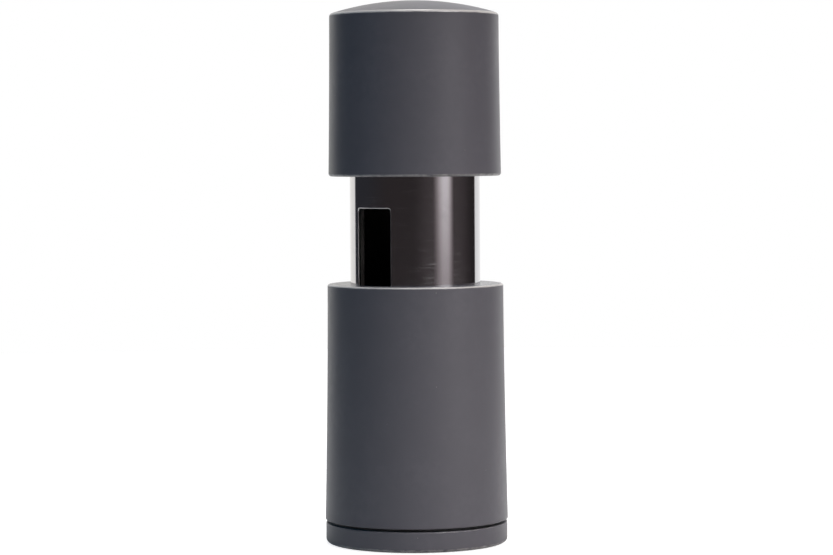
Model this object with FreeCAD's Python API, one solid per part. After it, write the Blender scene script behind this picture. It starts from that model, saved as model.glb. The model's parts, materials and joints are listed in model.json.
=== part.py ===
import FreeCAD
import Part
import math
import os

# Hand-held nutmeg mill, standing upright on its base cap, with the knob lifted for loading.
# Millimetres. +Z is up, the Z axis is the axis of the mill, and z = 0 is the surface it stands on.
# The front faces -Y. Angles are measured from the front, and positive angles go towards +X.

# ---------------------------------------------------------------- driving sizes

# Outer body. Flares and setbacks are differences in radius.
BODY_TOP_DIAMETER = 57.8
BODY_FLARE = 1.2
BODY_TAPER_POWER = 1.6
BODY_HEIGHT = 77.45
BODY_WALL = 2.2
BODY_TOP_ROUND = 0.5
BODY_BOTTOM_ROUND = 0.35
BODY_LIP_WIDTH = 3.0
BODY_LIP_THICKNESS = 1.5

# Base cap and seam
PAD_STANDS_PROUD = 0.3
PAD_THICKNESS = 1.2
PAD_SETBACK = 6.1
CAP_SETBACK = 0.2
CAP_HEIGHT = 6.7
CAP_BOTTOM_ROUND = 1.4
CAP_TOP_ROUND = 0.35
CAP_WALL = 2.2
CAP_FLOOR = 2.2
SEAM_HEIGHT = 0.95
SEAM_DEPTH = 1.7
INSERT_FLOOR = 1.6
PLUG_HEIGHT = 7.8
PLUG_WALL = 2.2
PLUG_CLEARANCE = 0.35
SEAL_WIRE = 2.2
SEAL_RISE = 3.9

# Sleeve and nut chamber
SLEEVE_WALL = 1.0
CHAMBER_WALL = 1.45
CHAMBER_FLANGE_WIDTH = 2.3
CHAMBER_FLANGE_THICKNESS = 1.2
WINDOW_HEIGHT = 25.0
WINDOW_BELOW_SHOULDER = 0.8
WINDOW_SPAN_DEG = 38.0
WINDOW_FACING_DEG = -41.0
WINDOW_CORNER_RADIUS = 0.8
CHAMBER_WINDOW_MARGIN = 0.3

# Shoulder ring and blade
SHOULDER_THICKNESS = 4.5
SKIRT_WALL = 1.8
BLADE_THICKNESS = 0.6
TOOTH_HEIGHT = 0.8
TOOTH_LENGTH = 2.0
TOOTH_WIDTH = 2.4
TOOTH_SPACING = 4.4
TOOTH_ROW_SPACING = 3.6
TOOTH_EDGE_MARGIN = 3.45
TOOTH_FREE_CENTRE = 3.0
SLOT_LENGTH = 1.1
CARRIER_THICKNESS = 3.0
CARRIER_LAND = 1.2
SPOKE_WIDTH = 1.6
HUB_RADIUS = 2.6

# Knob
KNOB_SETBACK = 0.55
KNOB_FLARE = 0.6
KNOB_TAPER_POWER = 1.5
KNOB_WALL = 2.0
KNOB_ROOF = 2.4
KNOB_DOME_RADIUS = 92.0
KNOB_TOP_ROUND = 0.9
KNOB_BOTTOM_ROUND = 1.0
LIFTED_GAP = 35.35
CLOSED_GAP = 0.55
HEADROOM = 0.8
ROOF_POST_HEIGHT = 0.45

# Bearing of the knob on the sleeve
COLLAR_RECESS = 2.0
COLLAR_FLOOR = 3.65
GLIDE_RING_HEIGHT = 3.0
GLIDE_RING_WALL = 1.2
GLIDE_RING_SPLIT = 1.5
RETAINER_THICKNESS = 1.6
RETAINER_BORE_GAP = 0.35
STOP_GAP = 0.4
STOP_SKIRT_HEIGHT = 2.6
STOP_SKIRT_WALL = 0.8
STOP_LID_THICKNESS = 0.8

# Spring housing, pusher and claws
GUIDE_TUBE_GAP = 0.75
GUIDE_TUBE_WALL = 1.5
GUIDE_TUBE_TOP = 2.5
GUIDE_END_SETBACK = 0.2
PUSHER_TRAVEL = 26.0
PUSHER_HEIGHT = 14.0
PUSHER_FLOOR = 2.4
PUSHER_SKIRT_WALL = 1.8
PUSHER_HUB_WALL = 1.35
PIN_DIAMETER = 3.0
PIN_RISE = 8.0
PIN_END_SETBACK = 0.2
CLAW_PLATE_THICKNESS = 0.8
CLAW_PLATE_MARGIN = 0.75
CLAW_LENGTH = 3.0
CLAW_WIDTH = 3.2
CLAW_COUNT = 4
CLAW_INSET = 5.3
CLAW_CLEARANCE = 0.4
SPRING_WIRE = 0.9
SPRING_COILS = 8.0
SPRING_SEAT_THICKNESS = 0.6
SPRING_SEAT_WIDTH = 3.2
SPRING_SEAT_MARGIN = 1.2
SPRING_POCKET_DEPTH = 2.2

# Screws
CARRIER_SCREW_OFFSET = 1.4
CARRIER_SCREW_LENGTH = 8.2
COLLAR_SCREW_BITE = 6.0
TUBE_SCREW_MARGIN = 1.7
TUBE_SCREW_LENGTH = 5.0
CLAW_SCREW_LENGTH = 6.6
SMALL_SHANK_RADIUS = 1.0
SMALL_HEAD_RADIUS = 1.7
SMALL_HEAD_HEIGHT = 1.3
LARGE_SHANK_RADIUS = 1.3
LARGE_HEAD_RADIUS = 2.3
LARGE_HEAD_HEIGHT = 1.5
BOSS_WALL = 0.9
SCREW_COUNT = 3

# Clearances
SEAT_CLEARANCE = 0.05
RUNNING_CLEARANCE = 0.05
MOVING_CLEARANCE = 0.3
THREAD_CLEARANCE = 0.02
END_CLEARANCE = 0.4

# Through cuts run this far past the faces they open
CUT_OVERRUN = 1.0

# ---------------------------------------------------------------- levels and radii that follow

cap_bottom = PAD_STANDS_PROUD
cap_top = cap_bottom + CAP_HEIGHT
body_bottom = cap_top + SEAM_HEIGHT
body_top = body_bottom + BODY_HEIGHT
body_top_radius = BODY_TOP_DIAMETER / 2
body_bottom_radius = body_top_radius + BODY_FLARE
body_bore_radius = body_bottom_radius - BODY_WALL
cap_radius = body_bottom_radius - CAP_SETBACK
pad_radius = cap_radius - PAD_SETBACK

knob_bottom_radius = body_top_radius - KNOB_SETBACK
knob_top_radius = knob_bottom_radius - KNOB_FLARE
knob_bore_radius = knob_bottom_radius - KNOB_WALL
boss_radius = SMALL_SHANK_RADIUS + BOSS_WALL
collar_radius = knob_bore_radius - SEAT_CLEARANCE
collar_screw_circle = collar_radius - boss_radius
stop_radius = collar_screw_circle - boss_radius - MOVING_CLEARANCE

sleeve_radius = stop_radius - STOP_SKIRT_WALL - SEAT_CLEARANCE
sleeve_bore = sleeve_radius - SLEEVE_WALL
chamber_radius = sleeve_bore - SEAT_CLEARANCE
chamber_bore = chamber_radius - CHAMBER_WALL
flange_radius = chamber_radius + CHAMBER_FLANGE_WIDTH
carrier_screw_circle = flange_radius + CARRIER_SCREW_OFFSET

travel = LIFTED_GAP - CLOSED_GAP
window_top = body_top + WINDOW_HEIGHT
window_bottom = body_top - WINDOW_BELOW_SHOULDER

knob_bottom = body_top + LIFTED_GAP
collar_bottom = knob_bottom + COLLAR_RECESS
pocket_floor = collar_bottom + COLLAR_FLOOR
pocket_top = pocket_floor + GLIDE_RING_HEIGHT + 2 * MOVING_CLEARANCE
retainer_top = pocket_top + RETAINER_THICKNESS
stop_bottom = retainer_top + STOP_GAP
sleeve_top = stop_bottom + STOP_SKIRT_HEIGHT
stop_top = sleeve_top + STOP_LID_THICKNESS
guide_top = stop_top + travel + HEADROOM
knob_rim = guide_top + ROOF_POST_HEIGHT + KNOB_ROOF

claw_tip = window_top + CLAW_CLEARANCE
plate_bottom = claw_tip + CLAW_LENGTH
head_bottom = plate_bottom + CLAW_PLATE_THICKNESS
head_top = head_bottom + PUSHER_HEIGHT
pin_level = head_bottom + PIN_RISE
pin_radius = PIN_DIAMETER / 2
guide_bottom = plate_bottom + GUIDE_END_SETBACK
guide_radius = chamber_bore - GUIDE_TUBE_GAP
guide_bore = guide_radius - GUIDE_TUBE_WALL
head_radius = guide_bore - RUNNING_CLEARANCE
claw_plate_radius = head_radius - CLAW_PLATE_MARGIN
claw_circle = claw_plate_radius - CLAW_INSET
tube_screw_circle = guide_bore - LARGE_HEAD_RADIUS - TUBE_SCREW_MARGIN
spring_radius = tube_screw_circle - LARGE_HEAD_RADIUS - SPRING_SEAT_MARGIN - SPRING_SEAT_WIDTH / 2
spring_floor = pin_level + pin_radius + SPRING_WIRE
spring_roof = guide_top - GUIDE_TUBE_TOP - SPRING_SEAT_THICKNESS

tooth_top = claw_tip - travel - END_CLEARANCE
blade_top = tooth_top - TOOTH_HEIGHT
blade_bottom = blade_top - BLADE_THICKNESS
blade_radius = flange_radius - END_CLEARANCE
flange_top = blade_top + CHAMBER_FLANGE_THICKNESS
carrier_bottom = blade_bottom - CARRIER_THICKNESS
carrier_radius = body_top_radius - BODY_WALL - END_CLEARANCE

insert_floor_bottom = cap_bottom + CAP_FLOOR
insert_top = body_bottom - MOVING_CLEARANCE + PLUG_HEIGHT
plug_radius = body_bore_radius - PLUG_CLEARANCE
plug_bore = plug_radius - PLUG_WALL
seal_level = body_bottom - MOVING_CLEARANCE + SEAL_RISE
seal_radius = body_bore_radius - RUNNING_CLEARANCE - SEAL_WIRE / 2


# ---------------------------------------------------------------- shapes in common

def vector(x, y, z):
    return FreeCAD.Vector(x, y, z)


def tube(inner_radius, outer_radius, low, high):
    """Plain round tube between two levels."""
    outer = Part.makeCylinder(outer_radius, high - low, vector(0, 0, low))
    return outer.cut(Part.makeCylinder(inner_radius, high - low, vector(0, 0, low)))


def disc(radius, low, high):
    """Plain round disc between two levels."""
    return Part.makeCylinder(radius, high - low, vector(0, 0, low))


def turned(points):
    """Solid of revolution about Z of a closed outline given as (radius, level) corners."""
    corners = [vector(radius, 0, level) for radius, level in points]
    face = Part.Face(Part.makePolygon(corners + corners[:1]))
    return face.revolve(vector(0, 0, 0), vector(0, 0, 1), 360)


def curve_through(points):
    """Smooth edge through (radius, level) points in the XZ plane."""
    curve = Part.BSplineCurve()
    curve.interpolate([vector(radius, 0, level) for radius, level in points])
    return curve.toShape()


def line(start, end):
    """Straight edge between two (radius, level) points in the XZ plane."""
    return Part.makeLine(vector(start[0], 0, start[1]), vector(end[0], 0, end[1]))


def turned_edges(edges):
    """Solid of revolution about Z of a closed chain of edges in the XZ plane."""
    face = Part.Face(Part.Wire(edges))
    return face.revolve(vector(0, 0, 0), vector(0, 0, 1), 360)


def round_rim(shape, radius, level, size):
    """Round the circular edges about Z that have this radius and level."""
    near = 0.01
    rims = []
    for edge in shape.Edges:
        box = edge.BoundBox
        flat = abs(box.ZMin - level) < near and abs(box.ZMax - level) < near
        wide = abs(box.XMin + radius) < near and abs(box.XMax - radius) < near
        if flat and wide:
            rims.append(edge)
    return shape.makeFillet(size, rims)


def on_circle(circle_radius, angle_deg):
    """Point on a circle about Z, at an angle from the front towards +X."""
    angle = math.radians(angle_deg)
    return circle_radius * math.sin(angle), -circle_radius * math.cos(angle)


def screw_angles(start_deg):
    """Angles of one ring of screws."""
    return [start_deg + 360 * number / SCREW_COUNT for number in range(SCREW_COUNT)]


def screw(shank_radius, head_radius, head_height, length):
    """Pan-head screw standing on its axis: head below z = 0, shank above it, cross recess underneath."""
    crown = head_height * 0.55
    tip = shank_radius * 0.9
    body = turned([
        (0, -head_height),
        (head_radius * 0.6, -head_height),
        (head_radius, -head_height + crown),
        (head_radius, 0),
        (shank_radius, 0),
        (shank_radius, length - tip),
        (shank_radius * 0.35, length),
        (0, length),
    ])
    recess_width = head_radius * 0.26
    recess_length = head_radius * 1.1
    recess_depth = head_height * 0.6
    bar = Part.makeBox(recess_length, recess_width, recess_depth + CUT_OVERRUN)
    bar.translate(vector(-recess_length / 2, -recess_width / 2, -head_height - CUT_OVERRUN))
    other_bar = bar.copy()
    other_bar.rotate(vector(0, 0, 0), vector(0, 0, 1), 90)
    return body.cut(bar).cut(other_bar)


def screw_ring(one_screw, circle_radius, level, start_deg):
    """The same screw at each place of a ring, as separate solids."""
    copies = []
    for angle in screw_angles(start_deg):
        x, y = on_circle(circle_radius, angle)
        copy = one_screw.copy()
        copy.translate(vector(x, y, level))
        copies.append(copy)
    return Part.makeCompound(copies)


def holes_on_circle(hole_radius, circle_radius, low, high, start_deg):
    """Round cutters, or posts, at each place of a ring of screws."""
    cutters = []
    for angle in screw_angles(start_deg):
        x, y = on_circle(circle_radius, angle)
        cutters.append(Part.makeCylinder(hole_radius, high - low, vector(x, y, low)))
    return cutters


def body_outer_radius(level):
    """Outside of the body: slim at the top, and wider faster and faster towards the bottom."""
    share = (body_top - level) / BODY_HEIGHT
    return body_top_radius + (body_bottom_radius - body_top_radius) * share ** BODY_TAPER_POWER


def knob_outer_radius(level):
    """Outside of the knob: slim at the top, and wider towards its open end."""
    share = (knob_rim - level) / (knob_rim - knob_bottom)
    return knob_top_radius + (knob_bottom_radius - knob_top_radius) * share ** KNOB_TAPER_POWER


def dome_level(radius, apex_level, dome_radius):
    """Level of a spherical dome at a distance from its axis."""
    return apex_level - dome_radius + math.sqrt(dome_radius ** 2 - radius ** 2)


def levels_between(low, high, count):
    """Evenly spaced levels, with both ends."""
    return [low + (high - low) * number / (count - 1) for number in range(count)]


# ---------------------------------------------------------------- housing

def body_shell():
    """Tapered barrel with a lip at the top and a plain bore for the cap's plug at the bottom."""
    lip_bottom = body_top - BODY_LIP_THICKNESS
    lip_radius = body_top_radius - BODY_LIP_WIDTH
    plug_bore_top = insert_top + END_CLEARANCE
    outer = [(body_outer_radius(level), level) for level in levels_between(body_top, body_bottom, 7)]
    inner_levels = levels_between(plug_bore_top, lip_bottom, 6)
    inner = [(body_outer_radius(level) - BODY_WALL, level) for level in inner_levels]
    shell = turned_edges([
        curve_through(outer),
        line(outer[-1], (body_bore_radius, body_bottom)),
        line((body_bore_radius, body_bottom), (body_bore_radius, plug_bore_top)),
        line((body_bore_radius, plug_bore_top), inner[0]),
        curve_through(inner),
        line(inner[-1], (lip_radius, lip_bottom)),
        line((lip_radius, lip_bottom), (lip_radius, body_top)),
        line((lip_radius, body_top), outer[0]),
    ])
    shell = round_rim(shell, body_top_radius, body_top, BODY_TOP_ROUND)
    return round_rim(shell, body_bottom_radius, body_bottom, BODY_BOTTOM_ROUND)


def shoulder_ring():
    """Top plate of the body, with a skirt around the sleeve and a boss for each carrier screw."""
    bore = sleeve_radius + SEAT_CLEARANCE
    lip_bottom = body_top - BODY_LIP_THICKNESS
    neck_radius = body_top_radius - BODY_LIP_WIDTH - SEAT_CLEARANCE
    plate_radius = body_top_radius - BODY_WALL - SEAT_CLEARANCE
    plate_low = body_top - SHOULDER_THICKNESS
    ring = turned([
        (bore, flange_top),
        (bore + SKIRT_WALL, flange_top),
        (bore + SKIRT_WALL, plate_low),
        (plate_radius, plate_low),
        (plate_radius, lip_bottom),
        (neck_radius, lip_bottom),
        (neck_radius, body_top),
        (bore, body_top),
    ])
    bosses = holes_on_circle(boss_radius, carrier_screw_circle, flange_top, plate_low + CUT_OVERRUN, 0)
    ring = ring.fuse(bosses).cut(disc(bore, flange_top, body_top))
    pilot = SMALL_SHANK_RADIUS + THREAD_CLEARANCE
    pilot_top = carrier_bottom + CARRIER_SCREW_LENGTH + END_CLEARANCE
    pilots = holes_on_circle(pilot, carrier_screw_circle, flange_top - CUT_OVERRUN, pilot_top, 0)
    return ring.cut(pilots).removeSplitter()


def window_cutter(inner_radius, outer_radius, margin):
    """Wedge through one side of a tube, with rounded corners, wider by a margin on each side."""
    middle = (inner_radius + outer_radius) / 2
    half_width = middle * math.radians(WINDOW_SPAN_DEG) / 2 + margin
    half_angle = math.degrees(half_width / middle)
    low = window_bottom - margin
    high = window_top + margin
    reach = outer_radius + CUT_OVERRUN
    wedge = Part.makeCylinder(reach, high - low, vector(0, 0, low), vector(0, 0, 1), 2 * half_angle)
    wedge.rotate(vector(0, 0, 0), vector(0, 0, 1), WINDOW_FACING_DEG - 90 - half_angle)
    wedge = wedge.cut(disc(inner_radius - CUT_OVERRUN, low, high))
    corners = []
    for edge in wedge.Edges:
        ends = [vertex.Point for vertex in edge.Vertexes]
        radial = len(ends) == 2 and abs(ends[0].z - ends[1].z) < 1e-6 and isinstance(edge.Curve, Part.Line)
        if radial:
            corners.append(edge)
    return wedge.makeFillet(WINDOW_CORNER_RADIUS + margin, corners)


def steel_sleeve():
    """Polished tube with the loading window, standing on the chamber's flange."""
    sleeve = tube(sleeve_bore, sleeve_radius, flange_top, sleeve_top)
    return sleeve.cut(window_cutter(sleeve_bore, sleeve_radius, 0))


def chamber_tube():
    """Inner tube of the nut chamber, with a foot flange and its own slightly larger window."""
    chamber = turned([
        (chamber_bore, blade_top),
        (flange_radius, blade_top),
        (flange_radius, flange_top),
        (chamber_radius, flange_top),
        (chamber_radius, sleeve_top),
        (chamber_bore, sleeve_top),
    ])
    return chamber.cut(window_cutter(chamber_bore, chamber_radius, CHAMBER_WINDOW_MARGIN))


def stop_ring():
    """Rim over the top ends of the sleeve and the chamber tube, whose skirt stops the knob."""
    skirt_bore = sleeve_radius + SEAT_CLEARANCE
    ring = turned([
        (skirt_bore, stop_bottom),
        (stop_radius, stop_bottom),
        (stop_radius, stop_top),
        (chamber_bore, stop_top),
        (chamber_bore, sleeve_top),
        (skirt_bore, sleeve_top),
    ])
    return round_rim(ring, stop_radius, stop_top, STOP_LID_THICKNESS / 2)


def blade_disc():
    """Thin disc with rows of raised cutting teeth, each leaning over a slot."""
    half_width = TOOTH_WIDTH / 2
    outline = [
        vector(-half_width, -TOOTH_LENGTH, blade_top),
        vector(-half_width, 0, tooth_top),
        vector(-half_width, 0, blade_top + TOOTH_HEIGHT / 2),
        vector(-half_width, -TOOTH_LENGTH / 2, blade_top - BLADE_THICKNESS / 2),
    ]
    tooth = Part.Face(Part.makePolygon(outline + outline[:1])).extrude(vector(TOOTH_WIDTH, 0, 0))
    slot = Part.makeBox(TOOTH_WIDTH, SLOT_LENGTH, BLADE_THICKNESS + 2 * CUT_OVERRUN)
    slot.translate(vector(-half_width, 0, blade_bottom - CUT_OVERRUN))
    teeth = []
    slots = []
    outer_row = chamber_bore - TOOTH_EDGE_MARGIN
    row_count = 1 + int((outer_row - TOOTH_FREE_CENTRE) / TOOTH_ROW_SPACING)
    for row in range(row_count):
        row_radius = outer_row - row * TOOTH_ROW_SPACING
        count = int(2 * math.pi * row_radius / TOOTH_SPACING)
        for number in range(count):
            angle = 360 * number / count
            for source, copies in ((tooth, teeth), (slot, slots)):
                copy = source.copy()
                copy.translate(vector(row_radius, 0, 0))
                copy.rotate(vector(0, 0, 0), vector(0, 0, 1), angle)
                copies.append(copy)
    plate = disc(blade_radius, blade_bottom, blade_top)
    return plate.cut(slots).fuse(teeth)


def blade_carrier():
    """Spoked ring under the blade, with a rim that reaches up to the bosses it is screwed to."""
    opening = chamber_bore - CARRIER_LAND
    ring = turned([
        (opening, carrier_bottom),
        (carrier_radius, carrier_bottom),
        (carrier_radius, flange_top),
        (flange_radius + SEAT_CLEARANCE, flange_top),
        (flange_radius + SEAT_CLEARANCE, blade_bottom),
        (opening, blade_bottom),
    ])
    parts = [disc(HUB_RADIUS, carrier_bottom, blade_bottom)]
    for angle in screw_angles(0):
        spoke = Part.makeBox(opening + CARRIER_LAND / 2, SPOKE_WIDTH, CARRIER_THICKNESS)
        spoke.translate(vector(0, -SPOKE_WIDTH / 2, carrier_bottom))
        spoke.rotate(vector(0, 0, 0), vector(0, 0, 1), angle - 90)
        parts.append(spoke)
    ring = ring.fuse(parts)
    hole = SMALL_SHANK_RADIUS + SEAT_CLEARANCE
    low = carrier_bottom - CUT_OVERRUN
    holes = holes_on_circle(hole, carrier_screw_circle, low, flange_top + CUT_OVERRUN, 0)
    return ring.cut(holes).removeSplitter()


def carrier_screws():
    """Screws that draw the carrier up against the shoulder ring."""
    one = screw(SMALL_SHANK_RADIUS, SMALL_HEAD_RADIUS, SMALL_HEAD_HEIGHT, CARRIER_SCREW_LENGTH)
    return screw_ring(one, carrier_screw_circle, carrier_bottom, 0)


# ---------------------------------------------------------------- base cap

def base_cap():
    """Shallow outer cup under the seam, with a recess below it for the foot pad."""
    pad_recess = PAD_THICKNESS - PAD_STANDS_PROUD
    cap = disc(cap_radius, cap_bottom, cap_top)
    cap = round_rim(cap, cap_radius, cap_bottom, CAP_BOTTOM_ROUND)
    cap = round_rim(cap, cap_radius, cap_top, CAP_TOP_ROUND)
    cap = cap.cut(disc(cap_radius - CAP_WALL, insert_floor_bottom, cap_top))
    return cap.cut(disc(pad_radius + SEAT_CLEARANCE, cap_bottom, cap_bottom + pad_recess))


def cap_insert():
    """Inner cup with the collar that shows as the seam, and a plug with a groove for the seal."""
    seat_radius = cap_radius - CAP_WALL - SEAT_CLEARANCE
    seam_radius = cap_radius - SEAM_DEPTH
    seam_top = body_bottom - MOVING_CLEARANCE
    floor_top = insert_floor_bottom + INSERT_FLOOR
    groove_half = SEAL_WIRE / 2 + SEAT_CLEARANCE
    groove_radius = seal_radius - SEAL_WIRE / 2 - SEAT_CLEARANCE
    return turned([
        (0, insert_floor_bottom),
        (seat_radius, insert_floor_bottom),
        (seat_radius, cap_top),
        (seam_radius, cap_top),
        (seam_radius, seam_top),
        (plug_radius, seam_top),
        (plug_radius, seal_level - groove_half),
        (groove_radius, seal_level - groove_half),
        (groove_radius, seal_level + groove_half),
        (plug_radius, seal_level + groove_half),
        (plug_radius, insert_top),
        (plug_bore, insert_top),
        (plug_bore, floor_top),
        (0, floor_top),
    ])


def cap_seal():
    """O-ring in the plug's groove, which bears on the bore of the body."""
    return Part.makeTorus(seal_radius, SEAL_WIRE / 2, vector(0, 0, seal_level), vector(0, 0, 1))


def foot_pad():
    """Soft pad that the mill stands on."""
    pad = disc(pad_radius, 0, PAD_THICKNESS)
    return round_rim(pad, pad_radius, 0, PAD_STANDS_PROUD / 2)


# ---------------------------------------------------------------- knob

def knob_solid():
    """Outside of the knob, filled: a domed top on a slightly flared side."""
    rise = KNOB_DOME_RADIUS - math.sqrt(KNOB_DOME_RADIUS ** 2 - knob_top_radius ** 2)
    apex = knob_rim + rise
    middle = knob_top_radius / 2
    dome = Part.Arc(
        vector(0, 0, apex),
        vector(middle, 0, dome_level(middle, apex, KNOB_DOME_RADIUS)),
        vector(knob_top_radius, 0, knob_rim),
    ).toShape()
    side = [(knob_outer_radius(level), level) for level in levels_between(knob_rim, knob_bottom, 7)]
    solid = turned_edges([
        dome,
        curve_through(side),
        line(side[-1], (0, knob_bottom)),
        line((0, knob_bottom), (0, apex)),
    ])
    solid = round_rim(solid, knob_top_radius, knob_rim, KNOB_TOP_ROUND)
    return round_rim(solid, knob_bottom_radius, knob_bottom, KNOB_BOTTOM_ROUND)


def knob_hollow(roof_level, roof_radius, roof_apex):
    """Inside of the knob: a plain bore for the collar, then a wall and a roof of even thickness."""
    levels = levels_between(retainer_top, roof_level, 6)
    side = [(knob_outer_radius(level) - KNOB_WALL, level) for level in levels]
    middle = side[-1][0] / 2
    roof = Part.Arc(
        vector(side[-1][0], 0, roof_level),
        vector(middle, 0, dome_level(middle, roof_apex, roof_radius)),
        vector(0, 0, roof_apex),
    ).toShape()
    return turned_edges([
        line((0, knob_bottom), (knob_bore_radius, knob_bottom)),
        line((knob_bore_radius, knob_bottom), (knob_bore_radius, retainer_top)),
        line((knob_bore_radius, retainer_top), side[0]),
        curve_through(side),
        roof,
        line((0, roof_apex), (0, knob_bottom)),
    ])


def knob_shell():
    """Domed cup with bosses above the collar, and posts and a rib in its roof for the guide tube."""
    roof_level = knob_rim - KNOB_ROOF
    roof_radius = KNOB_DOME_RADIUS - KNOB_ROOF
    roof_edge = knob_outer_radius(roof_level) - KNOB_WALL
    roof_apex = roof_level + roof_radius - math.sqrt(roof_radius ** 2 - roof_edge ** 2)
    shell = knob_solid().cut(knob_hollow(roof_level, roof_radius, roof_apex))
    boss_top = retainer_top + COLLAR_SCREW_BITE + 2 * BOSS_WALL
    web_length = knob_bore_radius + KNOB_WALL / 2 - collar_screw_circle
    added = holes_on_circle(boss_radius, collar_screw_circle, retainer_top, boss_top, 60)
    for angle in screw_angles(60):
        web = Part.makeBox(web_length, 2 * boss_radius, boss_top - retainer_top)
        web.translate(vector(collar_screw_circle, -boss_radius, retainer_top))
        web.rotate(vector(0, 0, 0), vector(0, 0, 1), angle - 90)
        added.append(web)
    post_radius = LARGE_SHANK_RADIUS + 2 * BOSS_WALL
    post_top = dome_level(tube_screw_circle + post_radius, roof_apex, roof_radius) + KNOB_ROOF / 2
    added += holes_on_circle(post_radius, tube_screw_circle, guide_top, post_top, 60)
    rib_top = dome_level(guide_radius, roof_apex, roof_radius) + KNOB_ROOF / 2
    added.append(tube(guide_bore, guide_radius, guide_top, rib_top))
    shell = shell.fuse(added)
    small_pilot = SMALL_SHANK_RADIUS + THREAD_CLEARANCE
    large_pilot = LARGE_SHANK_RADIUS + THREAD_CLEARANCE
    low = retainer_top - CUT_OVERRUN
    high = retainer_top + COLLAR_SCREW_BITE + END_CLEARANCE
    pilots = holes_on_circle(small_pilot, collar_screw_circle, low, high, 60)
    tube_pilot_top = guide_top - GUIDE_TUBE_TOP + TUBE_SCREW_LENGTH + END_CLEARANCE
    pilots += holes_on_circle(large_pilot, tube_screw_circle, guide_top - CUT_OVERRUN, tube_pilot_top, 60)
    return shell.cut(pilots).removeSplitter()


def guide_collar():
    """Bearing ring that runs on the sleeve, with a pocket above it for the glide ring."""
    bore = sleeve_radius + RUNNING_CLEARANCE
    pocket_radius = bore + GLIDE_RING_WALL + RUNNING_CLEARANCE
    collar = turned([
        (bore, collar_bottom),
        (collar_radius, collar_bottom),
        (collar_radius, pocket_top),
        (pocket_radius, pocket_top),
        (pocket_radius, pocket_floor),
        (bore, pocket_floor),
    ])
    hole = SMALL_SHANK_RADIUS + SEAT_CLEARANCE
    low = collar_bottom - CUT_OVERRUN
    return collar.cut(holes_on_circle(hole, collar_screw_circle, low, pocket_top + CUT_OVERRUN, 60))


def retainer_ring():
    """Flat ring that closes the glide ring's pocket and meets the stop ring when the knob is lifted."""
    bore = sleeve_radius + RETAINER_BORE_GAP
    ring = tube(bore, collar_radius, pocket_top, retainer_top)
    hole = SMALL_SHANK_RADIUS + SEAT_CLEARANCE
    low = pocket_top - CUT_OVERRUN
    return ring.cut(holes_on_circle(hole, collar_screw_circle, low, retainer_top + CUT_OVERRUN, 60))


def collar_screws():
    """Screws up through the collar and the retainer into the knob."""
    length = retainer_top + COLLAR_SCREW_BITE - collar_bottom
    one = screw(SMALL_SHANK_RADIUS, SMALL_HEAD_RADIUS, SMALL_HEAD_HEIGHT, length)
    return screw_ring(one, collar_screw_circle, collar_bottom, 60)


def glide_ring():
    """Split ring that grips the sleeve and lets the knob turn around it."""
    bore = sleeve_radius + RUNNING_CLEARANCE
    low = pocket_floor + MOVING_CLEARANCE
    ring = tube(bore, bore + GLIDE_RING_WALL, low, low + GLIDE_RING_HEIGHT)
    reach = bore + GLIDE_RING_WALL + CUT_OVERRUN
    split = Part.makeBox(GLIDE_RING_SPLIT, reach, GLIDE_RING_HEIGHT)
    split.translate(vector(-GLIDE_RING_SPLIT / 2, 0, low))
    return ring.cut(split)


def guide_tube():
    """Upside-down cup that holds the spring, with two slots for the ends of the cross pin."""
    cup = disc(guide_radius, guide_bottom, guide_top)
    cup = cup.cut(disc(guide_bore, guide_bottom, guide_top - GUIDE_TUBE_TOP))
    half_slot = pin_radius + MOVING_CLEARANCE
    low = pin_level - half_slot
    high = pin_level + PUSHER_TRAVEL + half_slot
    slot = Part.makeBox(2 * (guide_radius + CUT_OVERRUN), 2 * half_slot, high - low)
    slot.translate(vector(-guide_radius - CUT_OVERRUN, -half_slot, low))
    cup = cup.cut(slot)
    hole = LARGE_SHANK_RADIUS + SEAT_CLEARANCE
    holes = holes_on_circle(
        hole, tube_screw_circle, guide_top - GUIDE_TUBE_TOP - CUT_OVERRUN, guide_top + CUT_OVERRUN, 60
    )
    return cup.cut(holes)


def guide_tube_screws():
    """Screws up through the top of the guide tube into the roof of the knob."""
    one = screw(LARGE_SHANK_RADIUS, LARGE_HEAD_RADIUS, LARGE_HEAD_HEIGHT, TUBE_SCREW_LENGTH)
    return screw_ring(one, tube_screw_circle, guide_top - GUIDE_TUBE_TOP, 60)


def spring_seat():
    """Washer between the spring and the top of the guide tube."""
    half = SPRING_SEAT_WIDTH / 2
    return tube(spring_radius - half, spring_radius + half, spring_roof, guide_top - GUIDE_TUBE_TOP)


def pusher_spring():
    """Compression spring with close end coils, ground flat at both ends."""
    wire_radius = SPRING_WIRE / 2
    low = spring_floor
    high = spring_roof
    grind = wire_radius / 2
    first = low + wire_radius - grind
    last = high - wire_radius + grind
    points_per_coil = 12
    steps = int(SPRING_COILS * points_per_coil)
    rise_of_end_coil = SPRING_WIRE
    end_share = 1 / SPRING_COILS
    points = []
    for step in range(steps + 1):
        share = step / steps
        angle = 2 * math.pi * SPRING_COILS * share
        if share < end_share:
            level = first + rise_of_end_coil * share / end_share
        elif share > 1 - end_share:
            level = last - rise_of_end_coil * (1 - share) / end_share
        else:
            middle_share = (share - end_share) / (1 - 2 * end_share)
            smooth = middle_share - math.sin(2 * math.pi * middle_share) / (2 * math.pi) * 0.25
            level = first + rise_of_end_coil + (last - first - 2 * rise_of_end_coil) * smooth
        points.append(vector(spring_radius * math.cos(angle), spring_radius * math.sin(angle), level))
    path = Part.BSplineCurve()
    path.interpolate(points)
    circle = Part.Wire(Part.makeCircle(wire_radius, points[0], path.tangent(path.FirstParameter)[0]))
    coil = Part.Wire(path.toShape()).makePipeShell([circle], True, True)
    slab = disc(spring_radius + SPRING_WIRE, low, high)
    return coil.common(slab)


# ---------------------------------------------------------------- pusher

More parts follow.
